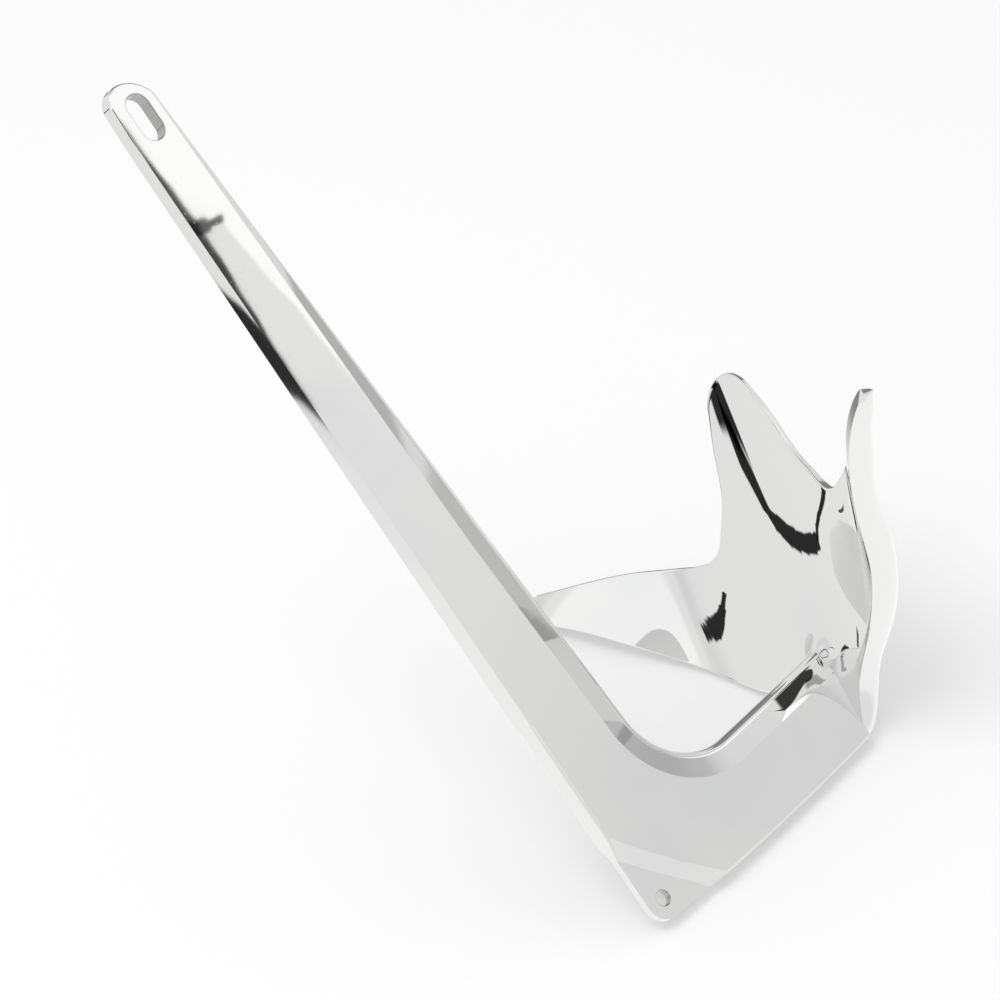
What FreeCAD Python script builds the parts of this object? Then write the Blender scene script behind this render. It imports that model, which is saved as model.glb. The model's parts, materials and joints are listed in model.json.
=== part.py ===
# Claw anchor, cast in one piece and mirror polished: a flat shank with a
# shackle slot, a thin heel tab with a trip-line hole, a crown arm and a
# dished claw with three toes. All sizes are in millimetres.
#
# Design frame: X runs from the heel to the eye, Z from the back edge of the
# shank towards the claw, and the anchor is symmetrical about Y = 0.
# The finished solid is laid on the floor the way it comes to rest.

import math
import os

import FreeCAD
import Part

V = FreeCAD.Vector

# Shank and eye
LENGTH = 453.5           # bottom of the heel to the top of the eye
EYE_CORNER = 9.5         # rounding of the eye on the back edge
EYE_CROWN = 17.0         # rounding of the eye on the claw side
THROAT_WIDTH = 48.8      # width of the shank where the bend begins
THROAT_X = 80.0          # height of that width above the heel
EYE_THICK = 7.7          # thickness of the shank from the eye down
TAPER_TOP_X = 340.0      # below this height the shank grows thicker
TAPER_LOW_X = 105.0      # and from here down it keeps its full thickness
CROWN_THICK = 11.2       # thickness of the crown and the arm
EDGE_ROUND = 1.2         # rounding of the long outer edges

# Shackle slot in the eye
SLOT_LENGTH = 24.0
SLOT_WIDTH = 12.2
SLOT_FROM_TOP = 19.1     # centre of the slot below the top of the eye
SLOT_IN = 13.5           # centre of the slot from the back edge

# Crown arm and the bend between shank and arm
BEND_RADIUS = 36.0       # inside of the bend
ARM_IN_X = 48.9          # inner edge of the arm, where it leaves the bend
ARM_IN_Z = 85.0
ARM_RISE = 0.093         # the inner edge climbs this much per millimetre
ARM_INTO_CLAW = 9.5      # the arm runs on this far behind the palm's foot
ARM_LOW_SHORT = 3.0      # and its lower edge ends this far short of it
ARM_LOW_SLOPE = 0.031    # the lower edge of the arm leaves the heel so
ARM_LOW_RADIUS = 1613.0  # and curls up towards the claw on this radius

# Thinned inner edge: a bevel on both faces that ends in a round nose.
# Depth of the nose, its half width, depth of the bevel, half width there
NOSE_FULL = (3.7, 3.7, 13.5)
NOSE_MID = (3.7, 3.7, 12.5)
NOSE_EYE = (1.2, 3.6, 2.2)
NOSE_MID_X = 190.0       # from here down the bevel keeps its full depth

# Heel tab and trip-line hole
HEEL_RADIUS = 10.0
HEEL_TO_AXIS = 3.0       # the design frame starts this far above the heel
HOLE_DIAMETER = 7.4
TAB_THICK = 4.0
TAB_LEG = 37.0           # the flat panel reaches this far along both edges
FACE_LEG = 53.5          # the thick face starts this far along both edges
FACE_BOW = 5.5           # the line where it starts bows towards the heel

# Claw, in its own frame, which leans back from the shank by LEAN degrees:
# x runs up the centre toe, y across, z backwards
LEAN = 22.0
FOOT = 94.5              # bottom of the palm on the centre line
TOE_TIP = 252.6          # top of the centre toe
HALF_SPAN = 153.0        # centre line to the tip of an outer toe
PALM_DEPTH = 134.9       # front of the palm at its foot
PALM_BACKSET = 0.0347    # slope of the palm's centre line at the foot
PALM_RADIUS = 1543.0     # and how it curls forward towards the tip
TWIST = 0.70             # the outer toes turn their lower edge forward
RIM = 2.6                # thickness of the claw at its thin upper rim
LOWER_RIM = 1.2          # flat of the sharp lower rim
CENTRE_RIDGE = 15.0      # thickness of the centre toe where it leaves
CENTRE_END = 4.6         # the palm, and at its tip
CENTRE_WIDTH = 13.0      # half width of that ridge at the tip
CENTRE_SPREAD = 0.42     # and how it widens towards the palm
CENTRE_FADE = 0.29       # it thins from this share of the height upwards
RIDGE_THICK = 24.5       # thickness of the ridges of the outer toes

# Stations across the claw, from the centre line (0) to the toe tip (1):
# how far the lower and the upper edge stand above the foot, as shares of
# the height of the claw, how far the toe comes forward, as a share of the
# half span, and how thick its ridge is, as a share of RIDGE_THICK
LOWER_EDGE = [(0.0, 0.0), (0.13, 0.019), (0.257, 0.064), (0.353, 0.117),
              (0.435, 0.180), (0.541, 0.268), (0.660, 0.366),
              (0.786, 0.459), (0.864, 0.505), (1.0, 0.575)]
UPPER_EDGE = [(0.0, 0.514), (0.353, 0.514), (0.412, 0.523), (0.516, 0.551),
              (0.647, 0.588), (0.776, 0.610), (0.895, 0.6245), (1.0, 0.632)]
FORWARD = [(0.0, 0.0), (0.163, 0.006), (0.294, 0.016), (0.412, 0.027),
           (0.490, 0.045), (0.550, 0.074), (0.610, 0.108), (0.690, 0.153),
           (0.776, 0.199), (0.883, 0.249), (0.980, 0.284), (1.1, 0.320)]
RIDGE = [(0.0, 0.94), (0.25, 1.0), (0.40, 0.80), (0.60, 0.52),
         (0.80, 0.52), (0.92, 0.42), (1.0, 0.22), (1.1, 0.12)]
RIDGE_PLACE = 0.30       # the ridge stands at this share of a toe's width
RIDGE_FALL = 0.62        # and thins out over this share beyond it

# Outline of the claw above its lower rim, as (share of the height, share of
# the half span): side of the centre toe, notch and top of the outer toe,
# then the outer toe's rounded tip
TOE_SIDE = [(0.936, 0.109), (0.815, 0.163), (0.700, 0.202), (0.597, 0.262),
            (0.538, 0.304), (0.517, 0.353), (0.523, 0.412), (0.551, 0.516),
            (0.588, 0.647), (0.610, 0.776), (0.624, 0.885), (0.632, 0.940)]
TOE_END = (0.620, 0.990)
BELOW = (0.588, 1.0)

# Rest on the floor: roughly the upward direction, and the side that turns
# to the front, both in the design frame
REST_UP = (0.74, 0.67, -0.06)
FRONT = (0.0, 0.81, -0.59)
ARM_REST_Z = 100.0       # it balances where the arm's edge is this far back

# Root of the claw, where it runs down into the lower end of the arm
ROOT_DROP = 27.5         # how far it reaches below the foot of the palm
ROOT_BACK = 6.5          # and how thick it is there
ROOT_WIDTH = 15.0        # it spreads over about this much on each side

# Swelling of the palm's front where the arm's inner edge runs into it
COLLAR_RISE = 7.0
COLLAR_UP = 17.0         # its middle stands this far above the foot
COLLAR_SPREAD = 12.0


def smooth_curve(stations):
    """Return an even function that runs smoothly through the stations."""
    xs = [p[0] for p in stations]
    ys = [p[1] for p in stations]
    n = len(xs)
    step = [xs[i + 1] - xs[i] for i in range(n - 1)]
    rise = [(ys[i + 1] - ys[i]) / step[i] for i in range(n - 1)]
    diag = [2.0 * step[0]] + [0.0] * (n - 1)
    right = [6.0 * rise[0]] + [0.0] * (n - 1)
    for i in range(1, n - 1):
        f = step[i - 1] / diag[i - 1]
        diag[i] = 2.0 * (step[i - 1] + step[i]) - f * step[i - 1]
        right[i] = 6.0 * (rise[i] - rise[i - 1]) - f * right[i - 1]
    bend = [0.0] * n
    for i in range(n - 2, -1, -1):
        bend[i] = (right[i] - step[i] * bend[i + 1]) / diag[i]

    def value(s):
        s = min(abs(s), xs[-1])
        i = 0
        while i < n - 2 and s > xs[i + 1]:
            i += 1
        h = step[i]
        p, q = (xs[i + 1] - s) / h, (s - xs[i]) / h
        return (p * ys[i] + q * ys[i + 1]
                + ((p ** 3 - p) * bend[i] + (q ** 3 - q) * bend[i + 1])
                * h * h / 6.0)

    return value


CLAW_HEIGHT = TOE_TIP - FOOT
FOOT_Z = (FOOT * math.sin(math.radians(LEAN))
          + PALM_DEPTH * math.cos(math.radians(LEAN)))
ARM_END_Z = FOOT_Z + ARM_INTO_CLAW
ARM_LOW_END_Z = FOOT_Z - ARM_LOW_SHORT
lower_share = smooth_curve(LOWER_EDGE)
upper_share = smooth_curve(UPPER_EDGE)
forward = smooth_curve(FORWARD)
ridge = smooth_curve(RIDGE)


def lower_edge(y):
    return FOOT + CLAW_HEIGHT * lower_share(y / HALF_SPAN)


def upper_edge(y):
    return FOOT + CLAW_HEIGHT * upper_share(y / HALF_SPAN)


def line_edge(a, b):
    return Part.makeLine(a, b)


def arc_edge(a, m, b):
    return Part.Arc(a, m, b).toShape()


def polygon_face(points):
    return Part.Face(Part.makePolygon(points + [points[0]]))


class PlateLines:
    """Lines and circles of the plate's outline, as (x, z) pairs."""

    def __init__(self):
        self.top = LENGTH - HEEL_TO_AXIS
        self.crown = (self.top - EYE_CROWN, EYE_CORNER)
        start_x = self.crown[0] + 2.5
        start_z = EYE_CORNER + math.sqrt(EYE_CROWN ** 2 - 2.5 ** 2)
        self.start = (start_x, start_z)
        slope = (start_z - THROAT_WIDTH) / (start_x - THROAT_X)
        k = math.hypot(1.0, slope)
        self.shank = (-1.0 / k, -slope / k)      # from the eye to the bend
        self.shank_out = (-slope / k, 1.0 / k)   # away from the metal
        k = math.hypot(ARM_RISE, 1.0)
        self.arm = (ARM_RISE / k, 1.0 / k)       # from the bend to the claw
        self.arm_out = (1.0 / k, -ARM_RISE / k)
        # Centre of the bend: BEND_RADIUS away from both inner edges
        px = THROAT_X + BEND_RADIUS * self.shank_out[0]
        pz = THROAT_WIDTH + BEND_RADIUS * self.shank_out[1]
        qx = ARM_IN_X + BEND_RADIUS * self.arm_out[0]
        qz = ARM_IN_Z + BEND_RADIUS * self.arm_out[1]
        (sx, sz), (ax, az) = self.shank, self.arm
        t = ((qx - px) * az - (qz - pz) * ax) / (sx * az - sz * ax)
        self.bend = (px + t * sx, pz + t * sz)
        self.shank_end = self.off_bend(self.shank_out)
        self.arm_start = self.off_bend(self.arm_out)

    def off_bend(self, direction):
        return (self.bend[0] - BEND_RADIUS * direction[0],
                self.bend[1] - BEND_RADIUS * direction[1])

    def on_shank(self, x):
        t = (x - self.start[0]) / self.shank[0]
        return (x, self.start[1] + t * self.shank[1])


def arm_low(z):
    """Height of the arm's lower edge, z behind the back of the shank."""
    d = z - HEEL_RADIUS
    curl = 0.5 * d * d / ARM_LOW_RADIUS
    return -HEEL_TO_AXIS + ARM_LOW_SLOPE * d + curl


def plate_blank(lines):
    """The plate as a plain blank: its outline, between its two faces."""

    def at(p):
        return V(p[0], -20.0, p[1])

    k = math.sqrt(0.5)
    top, h = lines.top, HEEL_RADIUS
    hx = h - HEEL_TO_AXIS
    arm_end = (lines.arm_start[0] + ARM_RISE * (ARM_END_Z
                                                - lines.arm_start[1]),
               ARM_END_Z)
    low_end = (arm_low(ARM_LOW_END_Z), ARM_LOW_END_Z)
    low_mid = 0.5 * (h + ARM_LOW_END_Z)
    ax, az = lines.shank_out, lines.arm_out
    mid = (ax[0] + az[0], ax[1] + az[1])
    size = math.hypot(mid[0], mid[1])
    bend_mid = lines.off_bend((mid[0] / size, mid[1] / size))
    turn = 0.5 * math.atan2(lines.start[1] - EYE_CORNER,
                            lines.start[0] - lines.crown[0])
    crown_mid = (lines.crown[0] + EYE_CROWN * math.cos(turn),
                 lines.crown[1] + EYE_CROWN * math.sin(turn))
    corner_mid = (top - EYE_CORNER * (1.0 - k), EYE_CORNER * (1.0 - k))
    edges = [
        line_edge(at((top - EYE_CORNER, 0.0)), at((hx, 0.0))),
        arc_edge(at((hx, 0.0)), at((hx - h * k, h - h * k)),
                 at((hx - h, h))),
        arc_edge(at((hx - h, h)), at((arm_low(low_mid), low_mid)), at(low_end)),
        line_edge(at(low_end), at(arm_end)),
        line_edge(at(arm_end), at(lines.arm_start)),
        arc_edge(at(lines.arm_start), at(bend_mid), at(lines.shank_end)),
        line_edge(at(lines.shank_end), at(lines.start)),
        arc_edge(at(lines.start), at(crown_mid), at((top, EYE_CORNER))),
        arc_edge(at((top, EYE_CORNER)), at(corner_mid),
                 at((top - EYE_CORNER, 0.0))),
    ]
    outline = Part.Face(Part.Wire(edges))
    prism = outline.extrude(V(0.0, 40.0, 0.0))
    thin, full = 0.5 * EYE_THICK, 0.5 * CROWN_THICK
    side = [(-20.0, full), (TAPER_LOW_X, full), (TAPER_TOP_X, thin),
            (LENGTH + 20.0, thin)]
    points = [V(x, y, -10.0) for x, y in side]
    points += [V(x, -y, -10.0) for x, y in reversed(side)]
    faces = polygon_face(points).extrude(V(0.0, 0.0, ARM_END_Z + 20.0))
    blank = prism.common(faces)
    rounded = []
    for edge in blank.Edges:
        mid = edge.valueAt(0.5 * (edge.FirstParameter + edge.LastParameter))
        outer = (mid.z < 0.1 or mid.x > lines.start[0] + 1.0
                 or (mid.x < arm_low(mid.z) + 0.8
                     and mid.z < ARM_LOW_END_Z - 1.0))
        if outer and abs(mid.y) > 0.4 * EYE_THICK and edge.Length > 3.0:
            rounded.append(edge)
    return blank.makeFillet(EDGE_ROUND, rounded)


def nose_wire(origin, outward, sizes):
    """Section of the thinned edge: origin is its apex, outward points off
    the metal, sizes is one of the NOSE dimensions."""
    deep, wide, bevel, bevel_wide = sizes
    far = 95.0

    def at(depth, y):
        return V(origin[0] - outward[0] * depth, y,
                 origin[1] - outward[1] * depth)

    steps = 2
    arc = []
    for i in range(-steps, steps + 1):
        a = 0.5 * math.pi * i / steps
        arc.append(at(deep * (1.0 - math.cos(a)), wide * math.sin(a)))
    nose = Part.BSplineCurve()
    nose.interpolate(arc)
    rim = bevel_wide + 2.0
    slope = (bevel - deep) / (bevel_wide - wide)
    wide_at = bevel + 2.0 * slope
    points = [at(wide_at, rim), at(far, rim), at(far, -rim),
              at(wide_at, -rim)]
    edges = [nose.toShape(), line_edge(arc[-1], points[0])]
    edges += [line_edge(points[i], points[i + 1]) for i in range(3)]
    edges.append(line_edge(points[3], arc[0]))
    return Part.Wire(edges)


def half_width_at(x):
    """Half the thickness of the plate at the height x."""
    thin, full = 0.5 * EYE_THICK, 0.5 * CROWN_THICK
    share = (TAPER_TOP_X - x) / (TAPER_TOP_X - TAPER_LOW_X)
    return thin + (full - thin) * min(max(share, 0.0), 1.0)


def nose_body(lines):
    """Everything the thinned inner edge leaves of the plate."""

    def sizes(dims, x):
        return dims + (half_width_at(x) + 0.02,)

    out = lines.shank_out
    high = lines.on_shank(LENGTH + 20.0)
    eye = lines.on_shank(lines.start[0])
    mid = lines.on_shank(NOSE_MID_X)
    end = lines.shank_end
    full = sizes(NOSE_FULL, end[0])
    at_eye = nose_wire(eye, out, sizes(NOSE_EYE, eye[0]))
    at_mid = nose_wire(mid, out, sizes(NOSE_MID, mid[0]))
    at_end = nose_wire(end, out, full)
    top = Part.Face(at_eye).extrude(V(high[0] - eye[0], 0.0,
                                      high[1] - eye[1]))
    shank = Part.makeLoft([at_eye, at_mid], True, True)
    low = Part.makeLoft([at_mid, at_end], True, True)
    turn = math.degrees(math.acos(lines.shank_out[0] * lines.arm_out[0]
                                  + lines.shank_out[1] * lines.arm_out[1]))
    bend = Part.Face(at_end).revolve(V(lines.bend[0], 0.0, lines.bend[1]),
                                     V(0.0, 1.0, 0.0), turn)
    arm_face = Part.Face(nose_wire(lines.arm_start, lines.arm_out, full))
    run = ARM_END_Z + 10.0 - lines.arm_start[1]
    arm = arm_face.extrude(V(run * lines.arm[0], 0.0, run * lines.arm[1]))
    return top.fuse([shank, low, bend, arm])


def heel_cutter(side):
    """What is taken off one face to leave the thin heel tab."""

    def corner_wire(leg, bow, y):
        off = -HEEL_TO_AXIS
        reach = 14.0
        a = V(leg + reach + off, y, -reach)
        b = V(off - reach, y, leg + reach)
        m = V(0.5 * leg + off - 0.7071 * bow, y, 0.5 * leg - 0.7071 * bow)
        far = V(-60.0, y, -60.0)
        return Part.Wire([arc_edge(a, m, b), line_edge(b, far),
                          line_edge(far, a)])

    low = 0.5 * TAB_THICK
    high = 0.5 * CROWN_THICK
    cutter = Part.makeLoft([corner_wire(TAB_LEG, 0.7, low),
                            corner_wire(FACE_LEG, FACE_BOW, high),
                            corner_wire(FACE_LEG + 12.0, FACE_BOW + 4.0,
                                        high + 2.6)],
                           True, True)
    if side < 0:
        cutter = cutter.mirror(V(0, 0, 0), V(0, 1, 0))
    return cutter


def make_plate():
    lines = PlateLines()
    plate = plate_blank(lines).common(nose_body(lines))
    r = 0.5 * SLOT_WIDTH
    half = 0.5 * SLOT_LENGTH - r
    slot_x = lines.top - SLOT_FROM_TOP
    a = V(slot_x - half, -20.0, SLOT_IN)
    b = V(slot_x + half, -20.0, SLOT_IN)
    up = V(0.0, 0.0, r)
    slot_wire = Part.Wire([
        line_edge(a + up, b + up),
        arc_edge(b + up, b + V(r, 0.0, 0.0), b - up),
        line_edge(b - up, a - up),
        arc_edge(a - up, a - V(r, 0.0, 0.0), a + up)])
    slot = Part.Face(slot_wire).extrude(V(0.0, 40.0, 0.0))
    hole = Part.makeCylinder(0.5 * HOLE_DIAMETER, 40.0,
                             V(HEEL_RADIUS - HEEL_TO_AXIS, -20.0,
                               HEEL_RADIUS), V(0.0, 1.0, 0.0))
    return plate.cut([heel_cutter(1), heel_cutter(-1), slot, hole])


def palm_dish(x, y):
    """How far back the dished palm lies at (x, y) of the claw's frame."""
    d = x - FOOT
    s = abs(y) / HALF_SPAN
    centre = PALM_DEPTH - PALM_BACKSET * d - 0.5 * d * d / PALM_RADIUS
    twist = TWIST * s * s * (upper_edge(y) - x)
    return centre - HALF_SPAN * forward(s) - twist


def palm_front(x, y):
    """The front of the claw: the dish, swollen where the arm meets it."""
    off = (y * y + (x - FOOT - COLLAR_UP) ** 2) / COLLAR_SPREAD ** 2
    return palm_dish(x, y) - COLLAR_RISE * math.exp(-off)


def palm_back(x, y):
    return palm_dish(x, y) + palm_thickness(x, y)


def ease(s):
    s = min(max(s, 0.0), 1.0)
    return s * s * (3.0 - 2.0 * s)


def root_spread(y):
    return 1.0 / (1.0 + (y / ROOT_WIDTH) ** 2) ** 1.5


def palm_thickness(x, y):
    """Thickness at (x, y): a ridge runs out of the palm along each toe,
    blunt towards the lower rim and thinning out to the upper rim."""
    y = abs(y)
    wall = LOWER_RIM + (ROOT_BACK - LOWER_RIM) * root_spread(y)
    wide = max(upper_edge(y) - lower_edge(y), 10.0)
    drop = ROOT_DROP * root_spread(y)
    rise = RIDGE_PLACE * wide + drop
    s = x - lower_edge(y) + drop
    blunt = math.sqrt(max(1.0 - max(1.0 - s / rise, 0.0) ** 2, 0.0))
    past = max(s - rise, 0.0) / (wide - RIDGE_PLACE * wide)
    side = RIDGE_THICK * ridge(y / HALF_SPAN) - RIM
    side *= math.exp(-(past / RIDGE_FALL) ** 2)
    width = CENTRE_WIDTH + CENTRE_SPREAD * max(TOE_TIP - x, 0.0)
    share = ease(((x - FOOT) / CLAW_HEIGHT - CENTRE_FADE)
                 / (1.0 - CENTRE_FADE))
    high = CENTRE_RIDGE + (CENTRE_END - CENTRE_RIDGE) * share
    centre = (high - RIM) * math.exp(-2.0 * (y / width) ** 2)
    both = RIM + side + centre - side * centre / RIDGE_THICK
    return wall + (both - wall) * blunt


def claw_slab():
    """The claw before its upper outline is cut: front, back, lower rim."""
    rows, half = 16, 14
    far = TOE_TIP + 20.0
    us = [j / half for j in range(-half, half + 1)]
    ys = [1.06 * HALF_SPAN * (0.6 * u + 0.4 * u ** 3) for u in us]
    front, back = [], []
    for i in range(rows + 1):
        t = (i / rows) ** 2
        row_f, row_b = [], []
        for y in ys:
            low = lower_edge(y)
            x = low + (far - low) * t
            row_f.append(V(x, y, palm_front(x, y)))
            low -= ROOT_DROP * root_spread(y)
            x = low + (far - low) * t
            row_b.append(V(x, y, palm_back(x, y)))
        front.append(row_f)
        back.append(row_b)
    faces = []
    for grid in (front, back):
        surface = Part.BSplineSurface()
        surface.interpolate(grid)
        faces.append(surface.toShape())

    def middle(edge):
        return edge.valueAt(0.5 * (edge.FirstParameter + edge.LastParameter))

    walls = []
    for edge in faces[0].Edges:
        other = min(faces[1].Edges,
                    key=lambda e: (middle(e) - middle(edge)).Length)
        walls.append(Part.makeRuledSurface(edge, other))
    solid = Part.makeSolid(Part.makeShell(faces + walls))
    if solid.Volume < 0:
        solid.reverse()
    return solid


def claw_prism():
    """The claw's outline, seen from the front, as a tall prism. Below the
    lower rim it is open, since the slab ends there by itself."""

    def p(point, side):
        return V(FOOT + CLAW_HEIGHT * point[0],
                 side * HALF_SPAN * point[1], 0.0)

    edges = []
    for side in (1.0, -1.0):
        curve = Part.BSplineCurve()
        curve.interpolate([p(q, side) for q in TOE_SIDE])
        edges.append(curve.toShape())
        edges.append(arc_edge(p(TOE_SIDE[-1], side), p(TOE_END, side),
                              p(BELOW, side)))
        edges.append(line_edge(p(BELOW, side), p((-0.4, 0.5), side)))
    edges.append(arc_edge(p(TOE_SIDE[0], -1.0), V(TOE_TIP, 0.0, 0.0),
                          p(TOE_SIDE[0], 1.0)))
    edges.append(line_edge(p((-0.4, 0.5), -1.0), p((-0.4, 0.5), 1.0)))
    outline = Part.Face(Part.Wire(Part.sortEdges(edges)[0]))
    return outline.extrude(V(0.0, 0.0, 2.0 * PALM_DEPTH))


def make_claw():
    claw = claw_prism().common(claw_slab())
    claw.rotate(V(0.0, 0.0, 0.0), V(0.0, 1.0, 0.0), -LEAN)
    return claw


def lowest(points, up, region):
    return min((p for p in points if region(p)), key=up.dot)


def rest_turn(points):
    """Turn and shift, as one matrix, that lays the anchor down the way it
    comes to rest on a flat floor: along the lower edge of its arm and on
    the tip of one outer toe, with the shank in the air."""
    regions = (
        lambda p: p.y < -0.8 * HALF_SPAN,
        lambda p: p.z < ARM_REST_Z and p.y < 0.0,
        lambda p: ARM_REST_Z <= p.z and -0.6 * HALF_SPAN < p.y < 0.0,
    )
    up = V(*REST_UP)
    for _ in range(30):
        a, b, c = (lowest(points, up, region) for region in regions)
        plane = (b - a).cross(c - a).normalize()
        if plane.dot(up) < 0.0:
            plane = plane * -1.0
        if (plane - up).Length < 1e-9:
            break
        up = plane
    front = V(*FRONT)
    y_axis = (up * front.dot(up) - front).normalize()
    x_axis = y_axis.cross(up)
    across = [x_axis.dot(p) for p in points]
    along = [y_axis.dot(p) for p in points]
    return FreeCAD.Matrix(
        x_axis.x, x_axis.y, x_axis.z, -0.5 * (min(across) + max(across)),
        y_axis.x, y_axis.y, y_axis.z, -0.5 * (min(along) + max(along)),
        up.x, up.y, up.z, -up.dot(a),
        0.0, 0.0, 0.0, 1.0)


def build():
    """The anchor in its design frame."""
    return make_plate().fuse(make_claw())


if __name__ == "__main__":
    os.makedirs("parts", exist_ok=True)
    body = build()
    anchor = body.transformed(rest_turn(body.tessellate(0.1)[0]), True)
    print("solids", len(anchor.Solids), "valid", anchor.isValid(),
          "volume cm3", round(anchor.Volume / 1000.0, 1))
    anchor.exportStep("parts/claw_anchor.step")
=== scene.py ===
"""Looks of the claw anchor: one mirror-polished casting in a plain white studio.

The anchor is modelled in its own frame, in millimetres: X runs from the heel
to the eye, Y across the shank, Z from the back of the shank to the claw. It is
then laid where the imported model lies, which its two mounts give.
"""

from __future__ import annotations

import json
import logging
import math
from dataclasses import dataclass
from enum import Enum
from functools import reduce
from typing import Callable, Iterable, Sequence

import bmesh
import bpy
from mathutils import Matrix, Vector

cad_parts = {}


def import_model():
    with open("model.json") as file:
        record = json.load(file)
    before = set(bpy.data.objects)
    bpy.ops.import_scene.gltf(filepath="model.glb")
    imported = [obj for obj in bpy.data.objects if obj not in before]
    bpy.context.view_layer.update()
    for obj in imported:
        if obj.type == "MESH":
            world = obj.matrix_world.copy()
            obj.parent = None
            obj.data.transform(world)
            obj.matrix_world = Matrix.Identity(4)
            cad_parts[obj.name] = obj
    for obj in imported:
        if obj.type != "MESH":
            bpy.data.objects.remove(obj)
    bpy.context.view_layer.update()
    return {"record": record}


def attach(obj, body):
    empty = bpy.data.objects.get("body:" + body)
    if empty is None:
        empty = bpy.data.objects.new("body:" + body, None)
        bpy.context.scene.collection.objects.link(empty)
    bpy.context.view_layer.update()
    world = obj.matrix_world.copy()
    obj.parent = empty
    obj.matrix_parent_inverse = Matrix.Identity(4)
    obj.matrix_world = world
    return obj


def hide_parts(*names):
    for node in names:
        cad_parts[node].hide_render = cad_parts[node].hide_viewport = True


LOG = logging.getLogger("claw_anchor")
MM = 0.001
WELD_MM = 0.00001
START_SIZE = 0.1
NODE = "claw_anchor"
WHITE = (1.0, 1.0, 1.0, 1.0)

Point2 = tuple[float, float]
Point3 = tuple[float, float, float]


class Cut(Enum):
    """What a boolean modifier does with its second solid."""

    AWAY = "DIFFERENCE"
    JOIN = "UNION"


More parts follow.
